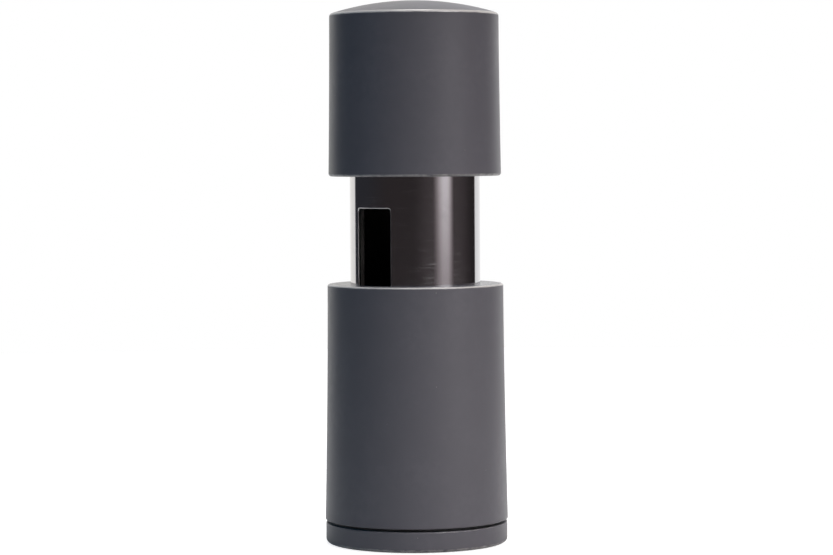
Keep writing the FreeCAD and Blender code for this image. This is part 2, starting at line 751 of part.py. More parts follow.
def pusher_head():
    """Piston that runs in the guide tube, with a hub for the pin and a pocket for the spring."""
    pocket_radius = spring_radius + SPRING_WIRE / 2 + MOVING_CLEARANCE
    hub_radius = pocket_radius + PUSHER_HUB_WALL
    hub_top = spring_floor + SPRING_POCKET_DEPTH
    floor_top = head_bottom + PUSHER_FLOOR
    head = turned([
        (0, head_bottom),
        (head_radius, head_bottom),
        (head_radius, head_top),
        (head_radius - PUSHER_SKIRT_WALL, head_top),
        (head_radius - PUSHER_SKIRT_WALL, floor_top),
        (hub_radius, floor_top),
        (hub_radius, hub_top),
        (pocket_radius, hub_top),
        (pocket_radius, spring_floor),
        (0, spring_floor),
    ])
    bore = Part.makeCylinder(
        pin_radius + THREAD_CLEARANCE, 2 * guide_radius, vector(-guide_radius, 0, pin_level), vector(1, 0, 0)
    )
    pilot = Part.makeCylinder(
        LARGE_SHANK_RADIUS + THREAD_CLEARANCE, CLAW_SCREW_LENGTH, vector(0, 0, plate_bottom)
    )
    return head.cut(bore).cut(pilot)


def cross_pin():
    """Steel pin through the piston, whose ends run in the slots of the guide tube."""
    reach = guide_radius - PIN_END_SETBACK
    pin = Part.makeCylinder(pin_radius, 2 * reach, vector(-reach, 0, pin_level), vector(1, 0, 0))
    return pin.makeChamfer(PIN_END_SETBACK, [edge for edge in pin.Edges if isinstance(edge.Curve, Part.Circle)])


def claw_plate():
    """Thin disc with pointed claws bent down out of it."""
    plate = disc(claw_plate_radius, plate_bottom, head_bottom)
    plate = plate.cut(disc(LARGE_SHANK_RADIUS + SEAT_CLEARANCE, plate_bottom, head_bottom))
    half = CLAW_WIDTH / 2
    outline = [
        vector(0, -half, head_bottom),
        vector(0, half, head_bottom),
        vector(0, half, plate_bottom),
        vector(0, 0, claw_tip),
        vector(0, -half, plate_bottom),
    ]
    claw = Part.Face(Part.makePolygon(outline + outline[:1])).extrude(vector(CLAW_PLATE_THICKNESS, 0, 0))
    gap = Part.makeBox(CLAW_LENGTH, CLAW_WIDTH, CLAW_PLATE_THICKNESS)
    gap.translate(vector(-CLAW_LENGTH, -half, plate_bottom))
    claws = []
    gaps = []
    for number in range(CLAW_COUNT):
        angle = 360 * (number + 0.5) / CLAW_COUNT
        for source, copies in ((claw, claws), (gap, gaps)):
            copy = source.copy()
            copy.translate(vector(claw_circle, 0, 0))
            copy.rotate(vector(0, 0, 0), vector(0, 0, 1), angle)
            copies.append(copy)
    return plate.cut(gaps).fuse(claws).removeSplitter()


def claw_screw():
    """Screw that holds the claw plate to the piston."""
    one = screw(LARGE_SHANK_RADIUS, LARGE_HEAD_RADIUS, LARGE_HEAD_HEIGHT, CLAW_SCREW_LENGTH - END_CLEARANCE)
    one.translate(vector(0, 0, plate_bottom))
    return one


# ---------------------------------------------------------------- files

PIECES = {
    "body_shell": body_shell,
    "shoulder_ring": shoulder_ring,
    "steel_sleeve": steel_sleeve,
    "chamber_tube": chamber_tube,
    "stop_ring": stop_ring,
    "blade_disc": blade_disc,
    "blade_carrier": blade_carrier,
    "carrier_screws": carrier_screws,
    "base_cap": base_cap,
    "cap_insert": cap_insert,
    "cap_seal": cap_seal,
    "foot_pad": foot_pad,
    "glide_ring": glide_ring,
    "knob_shell": knob_shell,
    "guide_collar": guide_collar,
    "retainer_ring": retainer_ring,
    "collar_screws": collar_screws,
    "guide_tube": guide_tube,
    "guide_tube_screws": guide_tube_screws,
    "spring_seat": spring_seat,
    "pusher_spring": pusher_spring,
    "pusher_head": pusher_head,
    "cross_pin": cross_pin,
    "claw_plate": claw_plate,
    "claw_screw": claw_screw,
}

os.makedirs("parts", exist_ok=True)
for node, make in PIECES.items():
    make().exportStep("parts/" + node + ".step")
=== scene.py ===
"""Looks of a hand-held nutmeg mill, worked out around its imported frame.

Metres. The mill stands on z = 0 around the Z axis, and its front faces -Y. Angles round the mill are
measured from the front, and positive ones go towards +X.
"""

import json
import math
from collections import namedtuple

import bpy
import numpy as np
from bpy.props import FloatProperty, FloatVectorProperty, IntProperty, PointerProperty
from mathutils import Matrix


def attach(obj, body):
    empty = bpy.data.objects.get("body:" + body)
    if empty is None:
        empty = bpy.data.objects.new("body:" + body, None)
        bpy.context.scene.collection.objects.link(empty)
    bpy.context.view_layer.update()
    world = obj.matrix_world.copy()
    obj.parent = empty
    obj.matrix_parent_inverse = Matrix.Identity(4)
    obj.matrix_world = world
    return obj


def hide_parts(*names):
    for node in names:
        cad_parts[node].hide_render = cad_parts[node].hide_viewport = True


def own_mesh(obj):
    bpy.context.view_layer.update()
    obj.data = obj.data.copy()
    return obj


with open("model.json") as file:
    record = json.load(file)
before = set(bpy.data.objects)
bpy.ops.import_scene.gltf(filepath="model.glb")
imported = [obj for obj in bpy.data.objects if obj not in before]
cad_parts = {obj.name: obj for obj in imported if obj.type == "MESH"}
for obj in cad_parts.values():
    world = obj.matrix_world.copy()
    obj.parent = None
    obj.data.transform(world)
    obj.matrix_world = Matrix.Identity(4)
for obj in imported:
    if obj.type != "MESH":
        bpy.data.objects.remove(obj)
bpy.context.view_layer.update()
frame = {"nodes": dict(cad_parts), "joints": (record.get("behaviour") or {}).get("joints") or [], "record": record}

bl_info = {
    "name": "Nutmeg mill",
    "version": (1, 0, 0),
    "blender": (4, 5, 0),
    "location": "3D View > Sidebar > Mill",
    "description": "Builds the visible pieces and finishes of a nutmeg mill around its frame",
    "category": "Object",
}

MM = 0.001

# ---------------------------------------------------------------- what the frame measures

Span = namedtuple("Span", "low high inner outer")


def span(node, low=-math.inf):
    """Lowest and highest level of a CAD node, and its smallest and largest distance from the Z axis.

    Given a level, only what lies above it counts.
    """
    mesh = frame["nodes"][node].data
    points = np.empty(3 * len(mesh.vertices))
    mesh.vertices.foreach_get("co", points)
    x, y, z = points.reshape(-1, 3)[points[2::3] >= low].T
    radii = np.hypot(x, y)
    return Span(z.min(), z.max(), radii.min(), radii.max())


BODY = span("body_shell")
KNOB = span("knob_shell")
SLEEVE = span("steel_sleeve")
CHAMBER = span("chamber_tube")
CAP = span("base_cap")
CUP = span("cap_insert")
SEAL = span("cap_seal")
PAD = span("foot_pad")
SPRING = span("pusher_spring")
GUIDE = span("guide_tube")
RETAINER = span("retainer_ring")
BARREL_TOP = span("body_shell", BODY.high - 1.0 * MM).outer


# ---------------------------------------------------------------- what a user would change

def length(name, description, default):
    """Length in metres that the panel shows in the scene's unit."""
    return FloatProperty(
        name=name, description=description, default=default, min=0, unit="LENGTH", precision=5
    )


def angle(name, description, degrees):
    """Angle in radians that the panel shows in degrees."""
    return FloatProperty(name=name, description=description, default=math.radians(degrees), subtype="ANGLE")


def colour(name, description, default):
    """Linear colour with a swatch in the panel."""
    return FloatVectorProperty(
        name=name, description=description, default=default, min=0, max=1, size=3, subtype="COLOR"
    )


def number(name, description, default):
    """Plain number of at least zero."""
    return FloatProperty(name=name, description=description, default=default, min=0)


class MillSizes(bpy.types.PropertyGroup):
    """Sizes of the surfaces that stand for CAD nodes. What isn't here is measured on the frame."""

    segments: IntProperty(name="Segments", description="Columns round a turned piece", default=288, min=48)
    arc_steps: IntProperty(name="Arc steps", description="Faces across one rounded edge", default=6, min=2)
    arris: length("Arris", "Round of an edge that has no size of its own", 0.15 * MM)
    barrel_top: length("Barrel top radius", "Outside radius of the barrel at its top", BARREL_TOP)
    barrel_wall: length("Barrel wall", "Wall of the barrel", 2.2 * MM)
    barrel_taper: number("Barrel taper", "How late the barrel widens: 1 is a straight cone", 1.6)
    barrel_top_round: length("Barrel top round", "Round of the top outer edge", 0.7 * MM)
    barrel_foot_round: length("Barrel foot round", "Round of the bottom outer edge", 0.35 * MM)
    barrel_lip: length("Barrel lip", "Thickness of the lip round the shoulder", 1.5 * MM)
    knob_rim: length("Knob rim radius", "Outside radius where the knob's dome meets its side", 27.75 * MM)
    knob_wall: length("Knob wall", "Wall of the knob", 2.0 * MM)
    knob_roof: length("Knob roof", "Thickness of the knob's dome", 2.4 * MM)
    knob_taper: number("Knob taper", "How late the knob widens: 1 is a straight cone", 1.5)
    knob_dome: length("Knob dome", "Radius of the sphere that the dome is part of", 92.0 * MM)
    knob_rim_round: length("Knob rim round", "Round between the dome and the side", 1.2 * MM)
    knob_mouth_round: length("Knob mouth round", "Round of the knob's open edge", 1.0 * MM)
    knob_screws_facing: angle("Knob screws facing", "Direction of the first of the knob's three screws", 60.0)
    roof_post: length("Roof post", "Radius of the posts that hold the guide tube", 3.1 * MM)
    collar_boss: length("Collar boss", "Radius of the bosses that hold the collar", 1.9 * MM)
    collar_boss_height: length("Collar boss height", "Height of those bosses", 7.8 * MM)
    guide_wall: length("Guide wall", "Wall of the guide tube, and of the rib that it meets", 1.5 * MM)
    window_facing: angle("Window facing", "Direction that the loading window faces", -41.0)
    window_width: angle("Window width", "Angle that the loading window spans", 38.0)
    window_height: length("Window height", "Height of the window above the shoulder", 25.0 * MM)
    window_sill: length("Window sill", "Depth of the window below the shoulder", 0.8 * MM)
    window_corner: length("Window corner", "Radius of the window's corners", 0.8 * MM)
    window_arris: length("Window arris", "Polished round of the window's outer edge", 0.3 * MM)
    window_margin: length("Window margin", "How much larger the inner tube's window is", 0.3 * MM)
    cap_foot_round: length("Cap foot round", "Round of the cap's bottom edge", 1.4 * MM)
    cap_top_round: length("Cap top round", "Round of the cap's top edge", 0.35 * MM)
    cap_wall: length("Cap wall", "Wall of the cap", 2.2 * MM)
    pad_rib_pitch: length("Pad rib pitch", "Spacing of the rings under the foot pad", 2.6 * MM)
    pad_rib_depth: length("Pad rib depth", "Depth of the grooves between those rings", 0.3 * MM)
    spring_coils: number("Spring coils", "Turns of the pusher spring", 8.0)


class MillColours(bpy.types.PropertyGroup):
    """Linear base colours. Each finish has the name of its material slot."""

    soft_touch: colour("Soft touch", "Charcoal coating of the knob, barrel and cap", (0.076, 0.0715, 0.083))
    # Painted highlight: this pale colour on the rounded rims, most on the upward-facing ones, stands for the
    # overhead lamp's highlight as well as for rubbed coating.
    rim_highlight_and_rubbing: colour("Rim highlight and rubbing", "Painted highlight of the upper rims, and coating that hands have polished", (0.43, 0.405, 0.39))
    seam_plastic: colour("Seam plastic", "Bare plastic of the cup in the seam", (0.022, 0.021, 0.023))
    polished_steel: colour("Polished steel", "Sleeve", (0.62, 0.61, 0.62))
    chamber_plastic: colour("Chamber plastic", "Inner tube and piston", (0.024, 0.021, 0.020))
    frame_plastic: colour("Frame plastic", "Carriers, collar and guide tube", (0.040, 0.040, 0.043))
    blade_steel: colour("Blade steel", "Cutting disc and claws", (0.66, 0.66, 0.67))
    glide_nylon: colour("Nylon", "Glide ring", (0.70, 0.68, 0.62))
    screw_steel: colour("Zinc", "Screws, pin and washer", (0.56, 0.57, 0.60))
    spring_steel: colour("Spring wire", "Drawn steel wire", (0.46, 0.45, 0.45))
    rubber: colour("Rubber", "Seal and foot pad", (0.030, 0.030, 0.030))
    floor: colour("Floor", "Pale floor", (0.42, 0.42, 0.42))


class MillStage(bpy.types.PropertyGroup):
    """Camera, lamps and surroundings."""

    camera_distance: length("Camera distance", "From the mill's axis", 0.93)
    camera_aim: length("Camera aim", "Level on the axis that the camera looks at", 0.08735)
    camera_side: length("Camera side", "How far the camera stands to the right", 0.00037)
    camera_tilt: angle("Camera tilt", "How far the camera looks down", 2.64)
    camera_roll: angle("Camera roll", "Turn of the picture", -0.35)
    lens: number("Lens", "Focal length in millimetres on a 36 mm sensor", 122.3)
    key_power: number("Key power", "Watts of the large lamp at the right", 20.5)
    key_bearing: angle("Key bearing", "Direction of that lamp, from the front towards the right", 50.0)
    key_height: angle("Key height", "Angle of that lamp above the floor", 30.0)
    key_feather: angle("Key feather", "How far below the mill that lamp points, which favours the base", 38.0)
    fill_power: number("Fill power", "Watts of the weak cool lamp at the left", 0.65)
    top_power: number("Top power", "Watts of the lamp overhead", 3.4)
    lamp_spread: angle("Lamp spread", "Widest angle that the grids on the lamps let through", 80.0)
    ambient: number("Ambient", "Light that comes evenly from all round", 0.02)
    strip: number("Strip", "Brightness of the tall softbox that polished surfaces show", 0.84)
    dark: number("Dark", "Brightness of the unlit room that polished surfaces show", 0.033)
    floor_radius: length("Floor radius", "Radius of the floor", 0.9)
    floor_glow: number("Floor glow", "Light the floor adds in the picture, so that it shows white", 0.86)


# ---------------------------------------------------------------- surfaces

Shell = namedtuple("Shell", "points faces normals edge")
# Round from which an edge's value is full, and how much less it is on rounds that face down. The value marks
# rubbed edges and also where a highlight of the overhead lamp is painted on the upper rims.
WEAR_AND_HIGHLIGHT_ROUND = 0.7 * MM
HIGHLIGHT_LESS_BELOW = 0.25


def outline(corners, steps, closed):
    """Outline of (radius, level) points made from (radius, level, round) corners, with outward normals.

    The material lies to the left of the way the corners run. A corner with a round r becomes an arc that
    starts r * tan(turn / 2) before it. A point at angle a of the arc is the start plus r * sin(a) along the
    incoming side plus r * (1 - cos(a)) towards the arc's centre. A corner without a round is a point that
    a smooth curve passes through. The edge value is 0 off the convex arcs. Along one it is the root of a
    sine, times the arc's round as a share of WEAR_AND_HIGHLIGHT_ROUND, held at 1, and less the further down
    the arc faces. It marks rubbed edges, and also the painted highlight that the overhead lamp would put on
    wide upper rims.
    faces, because hands rub wide upper edges more.
    """
    corners = np.array(corners, float)
    place, rounds = corners[:, :2], corners[:, 2:]
    after = np.roll(place, -1, 0) - place
    if not closed:
        after[-1] = after[-2]
    along = after / np.linalg.norm(after, axis=1, keepdims=True)
    before = np.roll(along, 1, 0)
    if not closed:
        before[0] = along[0]
    cross = before[:, :1] * along[:, 1:] - before[:, 1:] * along[:, :1]
    turn = np.arctan2(cross, (before * along).sum(1, keepdims=True))
    inward = np.sign(turn)[..., None] * np.stack([-before[:, 1], before[:, 0]], 1)[:, None]
    share = np.linspace(0, 1, steps + 1)
    swept = np.abs(turn) * share
    start = place - before * rounds * np.tan(np.abs(turn) / 2)
    forward = np.sin(swept)[..., None] * before[:, None]
    points = start[:, None] + rounds[..., None] * (forward + (1 - np.cos(swept))[..., None] * inward)
    heading = np.cos(swept)[..., None] * before[:, None] + np.sin(swept)[..., None] * inward
    plain = rounds[:, 0] <= 0
    middle = before + along
    heading[plain] = (middle / np.linalg.norm(middle, axis=1, keepdims=True))[plain, None]
    worn_and_lit = np.sqrt(np.abs(np.sin(math.pi * share))) * np.clip(rounds / WEAR_AND_HIGHLIGHT_ROUND, 0, 1)
    edge = np.where(turn > 0, worn_and_lit, 0)
    keep = np.ones(edge.shape, bool)
    keep[plain, 1:] = False
    heading = heading[keep]
    normals = np.stack([heading[:, 1], -heading[:, 0]], 1)
    edge = np.where(plain[:, None], 0, edge)[keep] * (1 + HIGHLIGHT_LESS_BELOW * (normals[:, 1] - 1))
    if not closed:
        normals[[0, -1]] = np.sign(normals[[0, -1]]) * (0, 1)
    return points[keep], normals, edge


def round_the_axis(radii, levels, angles):
    """Points at each radius, level and angle: x is radius * sin(angle) and y is -radius * cos(angle)."""
    x = radii * np.sin(angles)
    y = -radii * np.cos(angles)
    return np.stack(np.broadcast_arrays(x, y, levels), -1)


def quads(lower, upper):
    """Faces between two rows of vertex numbers, the upper one further along the outline."""
    faces = [lower, np.roll(lower, -1, -1), np.roll(upper, -1, -1), upper]
    return np.stack(faces, -1).reshape(-1, 4)


def turned(profile, segments, closed, first_angle=0.0):
    """Surface of revolution: the outline's radius and level at every one of evenly spaced angles.

    An open outline starts and ends on the axis, where fans of triangles close the poles.
    """
    points, normals, edge = profile
    angles = first_angle + 2 * math.pi * np.arange(segments) / segments
    if not closed:
        poles = round_the_axis(points[[0, -1], 0], points[[0, -1], 1], 0.0)
        pole_normals = np.stack([np.zeros(2), np.zeros(2), normals[[0, -1], 1]], 1)
        points, normals, edge = points[1:-1], normals[1:-1], edge[1:-1]
    grid = round_the_axis(points[:, :1], points[:, 1:], angles)
    grid_normals = round_the_axis(normals[:, :1], normals[:, 1:], angles)
    number_of = np.arange(len(points) * segments).reshape(len(points), segments)
    upper = np.roll(number_of, -1, 0)
    faces = quads(number_of, upper) if closed else quads(number_of[:-1], number_of[1:])
    shell = Shell(grid.reshape(-1, 3), faces.tolist(), grid_normals.reshape(-1, 3), np.repeat(edge, segments))
    if closed:
        return shell
    first, last = number_of.size, number_of.size + 1
    ring = number_of[0]
    opening = np.stack([np.full(segments, first), np.roll(ring, -1), ring], 1)
    ring = number_of[-1]
    closing = np.stack([ring, np.roll(ring, -1), np.full(segments, last)], 1)
    return Shell(
        np.vstack([shell.points, poles]),
        shell.faces + opening.tolist() + closing.tolist(),
        np.vstack([shell.normals, pole_normals]),
        np.append(shell.edge, (0, 0)),
    )


def moved(shell, x, y):
    """The same shell with its axis at another place."""
    return shell._replace(points=shell.points + (x, y, 0))


def drawn_out(shell, x, y):
    """The same shell, whose half that faces one way is moved that way: a round post becomes a web."""
    ahead = shell.points[:, :1] * x + shell.points[:, 1:2] * y > 0
    return shell._replace(points=shell.points + ahead * (x, y, 0))


def joined(shells):
    """Several closed shells as one."""
    faces = []
    count = 0
    for shell in shells:
        faces += [[corner + count for corner in face] for face in shell.faces]
        count += len(shell.points)
    points, normals, edge = (np.concatenate([shell[part] for shell in shells]) for part in (0, 2, 3))
    return Shell(points, faces, normals, edge)


def windowed(corners, levels, window, sizes):
    """Tube turned from corners, whose first outer and inner rows at the given levels frame a cut window.

    The wall of the window is a cross-section carried round a rounded rectangle. A block of the grid is
    left out, and each of its boundary points has one partner on the rectangle: the point is held to the
    rectangle through the corners' centres, and its partner lies one corner radius further out from there.
    """
    profile = outline(corners, sizes.arc_steps, True)
    points = profile[0]
    segments = sizes.segments
    tube = turned(profile, segments, True, sizes.window_facing)
    step = 2 * math.pi / segments
    side = int(math.ceil((window.half_width + window.frame) / window.outer / step))
    columns = np.arange(-side, side + 1)

    def rows_at(radius):
        on_wall = np.isclose(points[:, 0], radius, atol=1e-7)
        return np.array([np.flatnonzero(on_wall & np.isclose(points[:, 1], level))[0] for level in levels])

    def frame_of(radius):
        """Numbers of the block's boundary vertices: along the bottom, up, back along the top and down."""
        block = rows_at(radius)[:, None] * segments + columns % segments
        return np.concatenate([block[0, :-1], block[:-1, -1], block[-1, :0:-1], block[:0:-1, 0]])

    flat_angle, flat_level = np.meshgrid(columns * step, levels)
    boundary = np.stack([
        np.concatenate([flat[0, :-1], flat[:-1, -1], flat[-1, :0:-1], flat[:0:-1, 0]])
        for flat in (flat_angle * window.outer, flat_level)
    ], 1)
    reach = np.array([window.half_width - window.corner, 0])
    low = np.array([-reach[0], window.low + window.corner])
    high = np.array([reach[0], window.high - window.corner])
    held = np.clip(boundary, low, high)
    away = boundary - held
    away /= np.linalg.norm(away, axis=1, keepdims=True)
    cut = held + window.corner * away

    bend = np.linspace(0, math.pi / 2, sizes.arc_steps + 1)
    inner_arris = sizes.arris
    gap = window.outer_arris
    offsets = np.concatenate([gap * (1 - np.sin(bend)), inner_arris * (1 - np.cos(bend))])
    radii = np.concatenate([
        window.outer - gap * (1 - np.cos(bend)),
        window.inner + inner_arris * (1 - np.sin(bend)),
    ])
    facing_out = np.concatenate([np.cos(bend), -np.sin(bend)])
    facing_hole = np.concatenate([np.sin(bend), np.cos(bend)])
    wear_and_highlight = np.concatenate([np.sin(2 * bend), np.sin(2 * bend)])
    between = np.array([1 / 3, 2 / 3])[:, None, None]
    first = cut + gap * away
    last = cut + inner_arris * away
    outside = boundary + between * (first - boundary)
    inside = last + between * (boundary - last)
    flat = np.concatenate([outside, cut + offsets[:, None, None] * away, inside])
    spread = np.array([1.0, 1.0])
    radii = np.concatenate([spread * window.outer, radii, spread * window.inner])
    facing_out = np.concatenate([spread, facing_out, -spread])
    facing_hole = np.concatenate([0 * spread, facing_hole, 0 * spread])
    wear_and_highlight = np.concatenate([0 * spread, wear_and_highlight, 0 * spread])

    angles = sizes.window_facing + flat[..., 0] / window.outer
    rings = round_the_axis(radii[:, None], flat[..., 1], angles)
    radial = round_the_axis(1.0, 0.0, angles)
    sideways = np.stack([np.cos(angles), np.sin(angles), np.zeros_like(angles)], -1)
    up = np.array([0.0, 0.0, 1.0])
    to_hole = -(away[:, :1] * sideways + away[:, 1:] * up)
    normals = facing_out[:, None, None] * radial + facing_hole[:, None, None] * to_hole

    start = len(tube.points)
    numbers = start + np.arange(rings.shape[0] * rings.shape[1]).reshape(rings.shape[:2])
    loops = np.vstack([frame_of(window.outer), numbers, frame_of(window.inner)])
    rim = np.concatenate([quads(lower, upper) for lower, upper in zip(loops[:-1], loops[1:])])
    left_out = np.zeros((len(points), segments), bool)
    for radius in (window.outer, window.inner):
        rows = rows_at(radius)
        rows = rows[:-1] if radius == window.outer else rows[1:]
        left_out[rows[:, None], columns[:-1] % segments] = True
    kept = np.array(tube.faces)[~left_out.ravel()]
    return Shell(
        np.vstack([tube.points, rings.reshape(-1, 3)]),
        kept.tolist() + rim.tolist(),
        np.vstack([tube.normals, normals.reshape(-1, 3)]),
        np.append(tube.edge, np.repeat(wear_and_highlight, rings.shape[1])),
    )


def swept(path, radius, sides):
    """Round wire: circles of one radius carried along a path round the Z axis, with closed ends.

    Each circle is spanned by the direction away from the axis and the one across it and the wire.
    """
    tangent = np.gradient(path, axis=0)
    tangent /= np.linalg.norm(tangent, axis=1, keepdims=True)
    away = path * (1, 1, 0)
    away /= np.linalg.norm(away, axis=1, keepdims=True)
    across = np.cross(tangent, away)
    turn = 2 * math.pi * np.arange(sides) / sides
    normals = np.cos(turn)[:, None] * away[:, None] + np.sin(turn)[:, None] * across[:, None]
    rings = path[:, None] + radius * normals
    numbers = np.arange(len(path) * sides).reshape(len(path), sides)
    ends = [numbers[0, ::-1].tolist(), numbers[-1].tolist()]
    faces = quads(numbers[:-1], numbers[1:]).tolist() + ends
    return Shell(rings.reshape(-1, 3), faces, normals.reshape(-1, 3), np.zeros(numbers.size))


def add_piece(name, shell, body, slot, replaced):
    """Mesh object of a shell with its slot's finish, which rides on a CAD body and stands for CAD nodes."""
    mesh = bpy.data.meshes.new(name)
    mesh.from_pydata(shell.points, [], shell.faces)
    mesh.shade_smooth()
    mesh.normals_split_custom_set_from_vertices(shell.normals)
    # Edge value: rubbed edges, and the mask of the painted highlight on the upper rims.
    worn_and_lit = mesh.attributes.new("edge", "FLOAT", "POINT")
    worn_and_lit.data.foreach_set("value", shell.edge.astype(np.float32))
    mesh.materials.append(finish_for(slot))
    piece = bpy.data.objects.new(name, mesh)
    bpy.context.scene.collection.objects.link(piece)
    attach(piece, body)
    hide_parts(*replaced)
    return piece


# ---------------------------------------------------------------- shader tools

class Field:
    """Value that varies over a surface: the output socket of a shader node.

    The signs + - * and / between a field and a field or number add a Math node to the field's tree.
    """

    def __init__(self, socket):
        self.socket = socket
        self.tree = socket.id_data

    def __add__(self, other):
        return calculate("ADD", self, other)

    def __sub__(self, other):
        return calculate("SUBTRACT", self, other)

    def __rsub__(self, other):
        return calculate("SUBTRACT", other, self)

    def __mul__(self, other):
        return calculate("MULTIPLY", self, other)

    def __rtruediv__(self, other):
        return calculate("DIVIDE", other, self)


def put(value, socket):
    """Link a field to a socket, or make anything else the socket's constant."""
    if isinstance(value, Field):
        value.tree.links.new(value.socket, socket)
    else:
        socket.default_value = value


def add_node(tree, kind, inputs=None, **settings):
    """New node with its settings and its inputs, which are named or numbered."""
    made = tree.nodes.new(kind)
    for name, value in settings.items():
        setattr(made, name, value)
    for name, value in (inputs or {}).items():
        put(value, made.inputs[name])
    return made


def calculate(operation, *values):
    """Field that one Math node makes of fields and numbers."""
    tree = next(value.tree for value in values if isinstance(value, Field))
    return Field(add_node(tree, "ShaderNodeMath", dict(enumerate(values)), operation=operation).outputs[0])


def ramp(value, source, target=(0.0, 1.0), kind="SMOOTHSTEP"):
    """Field carried from one range to another, smoothly by default, and held at the ends."""
    ends = dict(zip(("From Min", "From Max", "To Min", "To Max"), (*source, *target)))
    made = add_node(value.tree, "ShaderNodeMapRange", {"Value": value, **ends}, interpolation_type=kind)
    return Field(made.outputs["Result"])


def mix(share, first, second):
    """Number between two numbers."""
    return Field(add_node(share.tree, "ShaderNodeMix", {"Factor": share, "A": first, "B": second}).outputs[0])


def blend(share, first, second):
    """Colour between two colours, each a field or three numbers. Sockets 6 and 7 are the node's colours."""
    first, second = (part if isinstance(part, Field) else (*part, 1.0) for part in (first, second))
    inputs = {"Factor": share, 6: first, 7: second}
    return Field(add_node(share.tree, "ShaderNodeMix", inputs, data_type="RGBA").outputs[2])


def shade(tone, factor):
    """Colour times a number, held at 1."""
    return [min(1.0, part * factor) for part in tone]


def mottled(share, tone, first, second):
    """Colour times a number that changes with the share from the first to the second."""
    return blend(share, shade(tone, first), shade(tone, second))


def noise(position, scale, detail=2.0, roughness=0.5):
    """Noise between 0 and 1, whose features are 1 / scale metres wide."""
    inputs = {"Vector": position, "Scale": scale, "Detail": detail, "Roughness": roughness}
    return Field(add_node(position.tree, "ShaderNodeTexNoise", inputs).outputs["Fac"])


def axes(position):
    """X, Y and Z of a position."""
    split = add_node(position.tree, "ShaderNodeSeparateXYZ", {0: position}).outputs
    return [Field(split[axis]) for axis in "XYZ"]


def cells(position, scale):
    """Distance from the nearest point of a Voronoi pattern, and a random number for that point."""
    found = add_node(position.tree, "ShaderNodeTexVoronoi", {"Vector": position, "Scale": scale}).outputs
    split = add_node(position.tree, "ShaderNodeSeparateColor", {0: Field(found["Color"])}).outputs
    return Field(found["Distance"]), Field(split["Red"])


def bump(height, depth):
    """Normal of a surface with this height pattern, as deep as it is in metres."""
    inputs = {"Height": height, "Distance": depth}
    return Field(add_node(height.tree, "ShaderNodeBump", inputs).outputs["Normal"])


# ---------------------------------------------------------------- shared patterns
# Each takes the input fields of its node group and returns the list of its output fields. The numbers that
# are the same wherever it is used are its further arguments.

def surface_grain(position, size, finer=3.1, fine_share=0.33):
    """Moulded or sprayed grain: two sizes of noise, the finer one at a third of the strength."""
    scale = 1.0 / size
    return [noise(position, scale) + noise(position, scale * finer) * fine_share]


def edge_wear_and_highlight(position, patch, reach, mean_noise=0.5, softness=0.5):
    """Edges that hands and cloths have rubbed, and upper rims where a highlight is painted: the mesh's edge value,
    broken up by noise.
    """
    edge = Field(add_node(position.tree, "ShaderNodeAttribute", attribute_name="edge").outputs["Fac"])
    height = edge + (noise(position, 1.0 / patch, detail=4.0, roughness=0.65) - mean_noise)
    start = 1.0 - reach
    return [ramp(height, (start, start + softness)) * edge]


def handling_marks(position, size, finer=6.0, wide_ends=(0.35, 0.68), finer_ends=(0.25, 0.75)):
    """Faint uneven patches that handling leaves: wide noise times finer noise."""
    scale = 1.0 / size
    wide = noise(position, scale, detail=3.0, roughness=0.6)
    fine = noise(position, scale * finer, detail=4.0, roughness=0.6)
    return [ramp(wide, wide_ends) * ramp(fine, finer_ends)]


def ring_scratches(
    position, spacing, reach, share, stretch=(1.7, 1.7, 1.9), rarest=0.78, less_rare=0.3, softness=0.04
):
    """Fine lines that run round the Z axis: noise drawn out sideways and close-set upwards.

    The scratches are the peaks of the same noise at another scale.
    """
    x, y, z = axes(position)
    along = 1.0 / reach
    drawn = {"X": x * along, "Y": y * along, "Z": z * (1.0 / spacing)}
    drawn = Field(add_node(position.tree, "ShaderNodeCombineXYZ", drawn).outputs[0])
    other = add_node(position.tree, "ShaderNodeVectorMath", {0: drawn, 1: stretch}, operation="MULTIPLY")
    start = rarest - share * less_rare
    lines = noise(drawn, 1.0, detail=3.0, roughness=0.7)
    peaks = noise(Field(other.outputs[0]), 1.0, detail=1.0)
    return [lines, ramp(peaks, (start, start + softness), kind="LINEAR")]


def dust_specks(position, cell, speck, share):
    """Specks of dust: near the middle of a few cells of a Voronoi pattern."""
    away, chance = cells(position, 1.0 / cell)
    return [calculate("LESS_THAN", away, speck) * calculate("LESS_THAN", chance, share)]


Pattern = namedtuple("Pattern", "maker inputs outputs")
PATTERNS = {
    "Surface grain": Pattern(surface_grain, {"Size": 0.3 * MM}, ["Height"]),
    "Edge wear and highlight": Pattern(edge_wear_and_highlight, {"Patch": 4 * MM, "Reach": 0.5}, ["Mask"]),
    "Handling marks": Pattern(handling_marks, {"Size": 18 * MM}, ["Mask"]),
    "Ring scratches": Pattern(
        ring_scratches, {"Spacing": 0.1 * MM, "Length": 12 * MM, "Share": 0.2}, ["Lines", "Scratches"]
    ),
    "Dust": Pattern(dust_specks, {"Cell": 2 * MM, "Speck": 0.05, "Share": 0.1}, ["Mask"]),
}


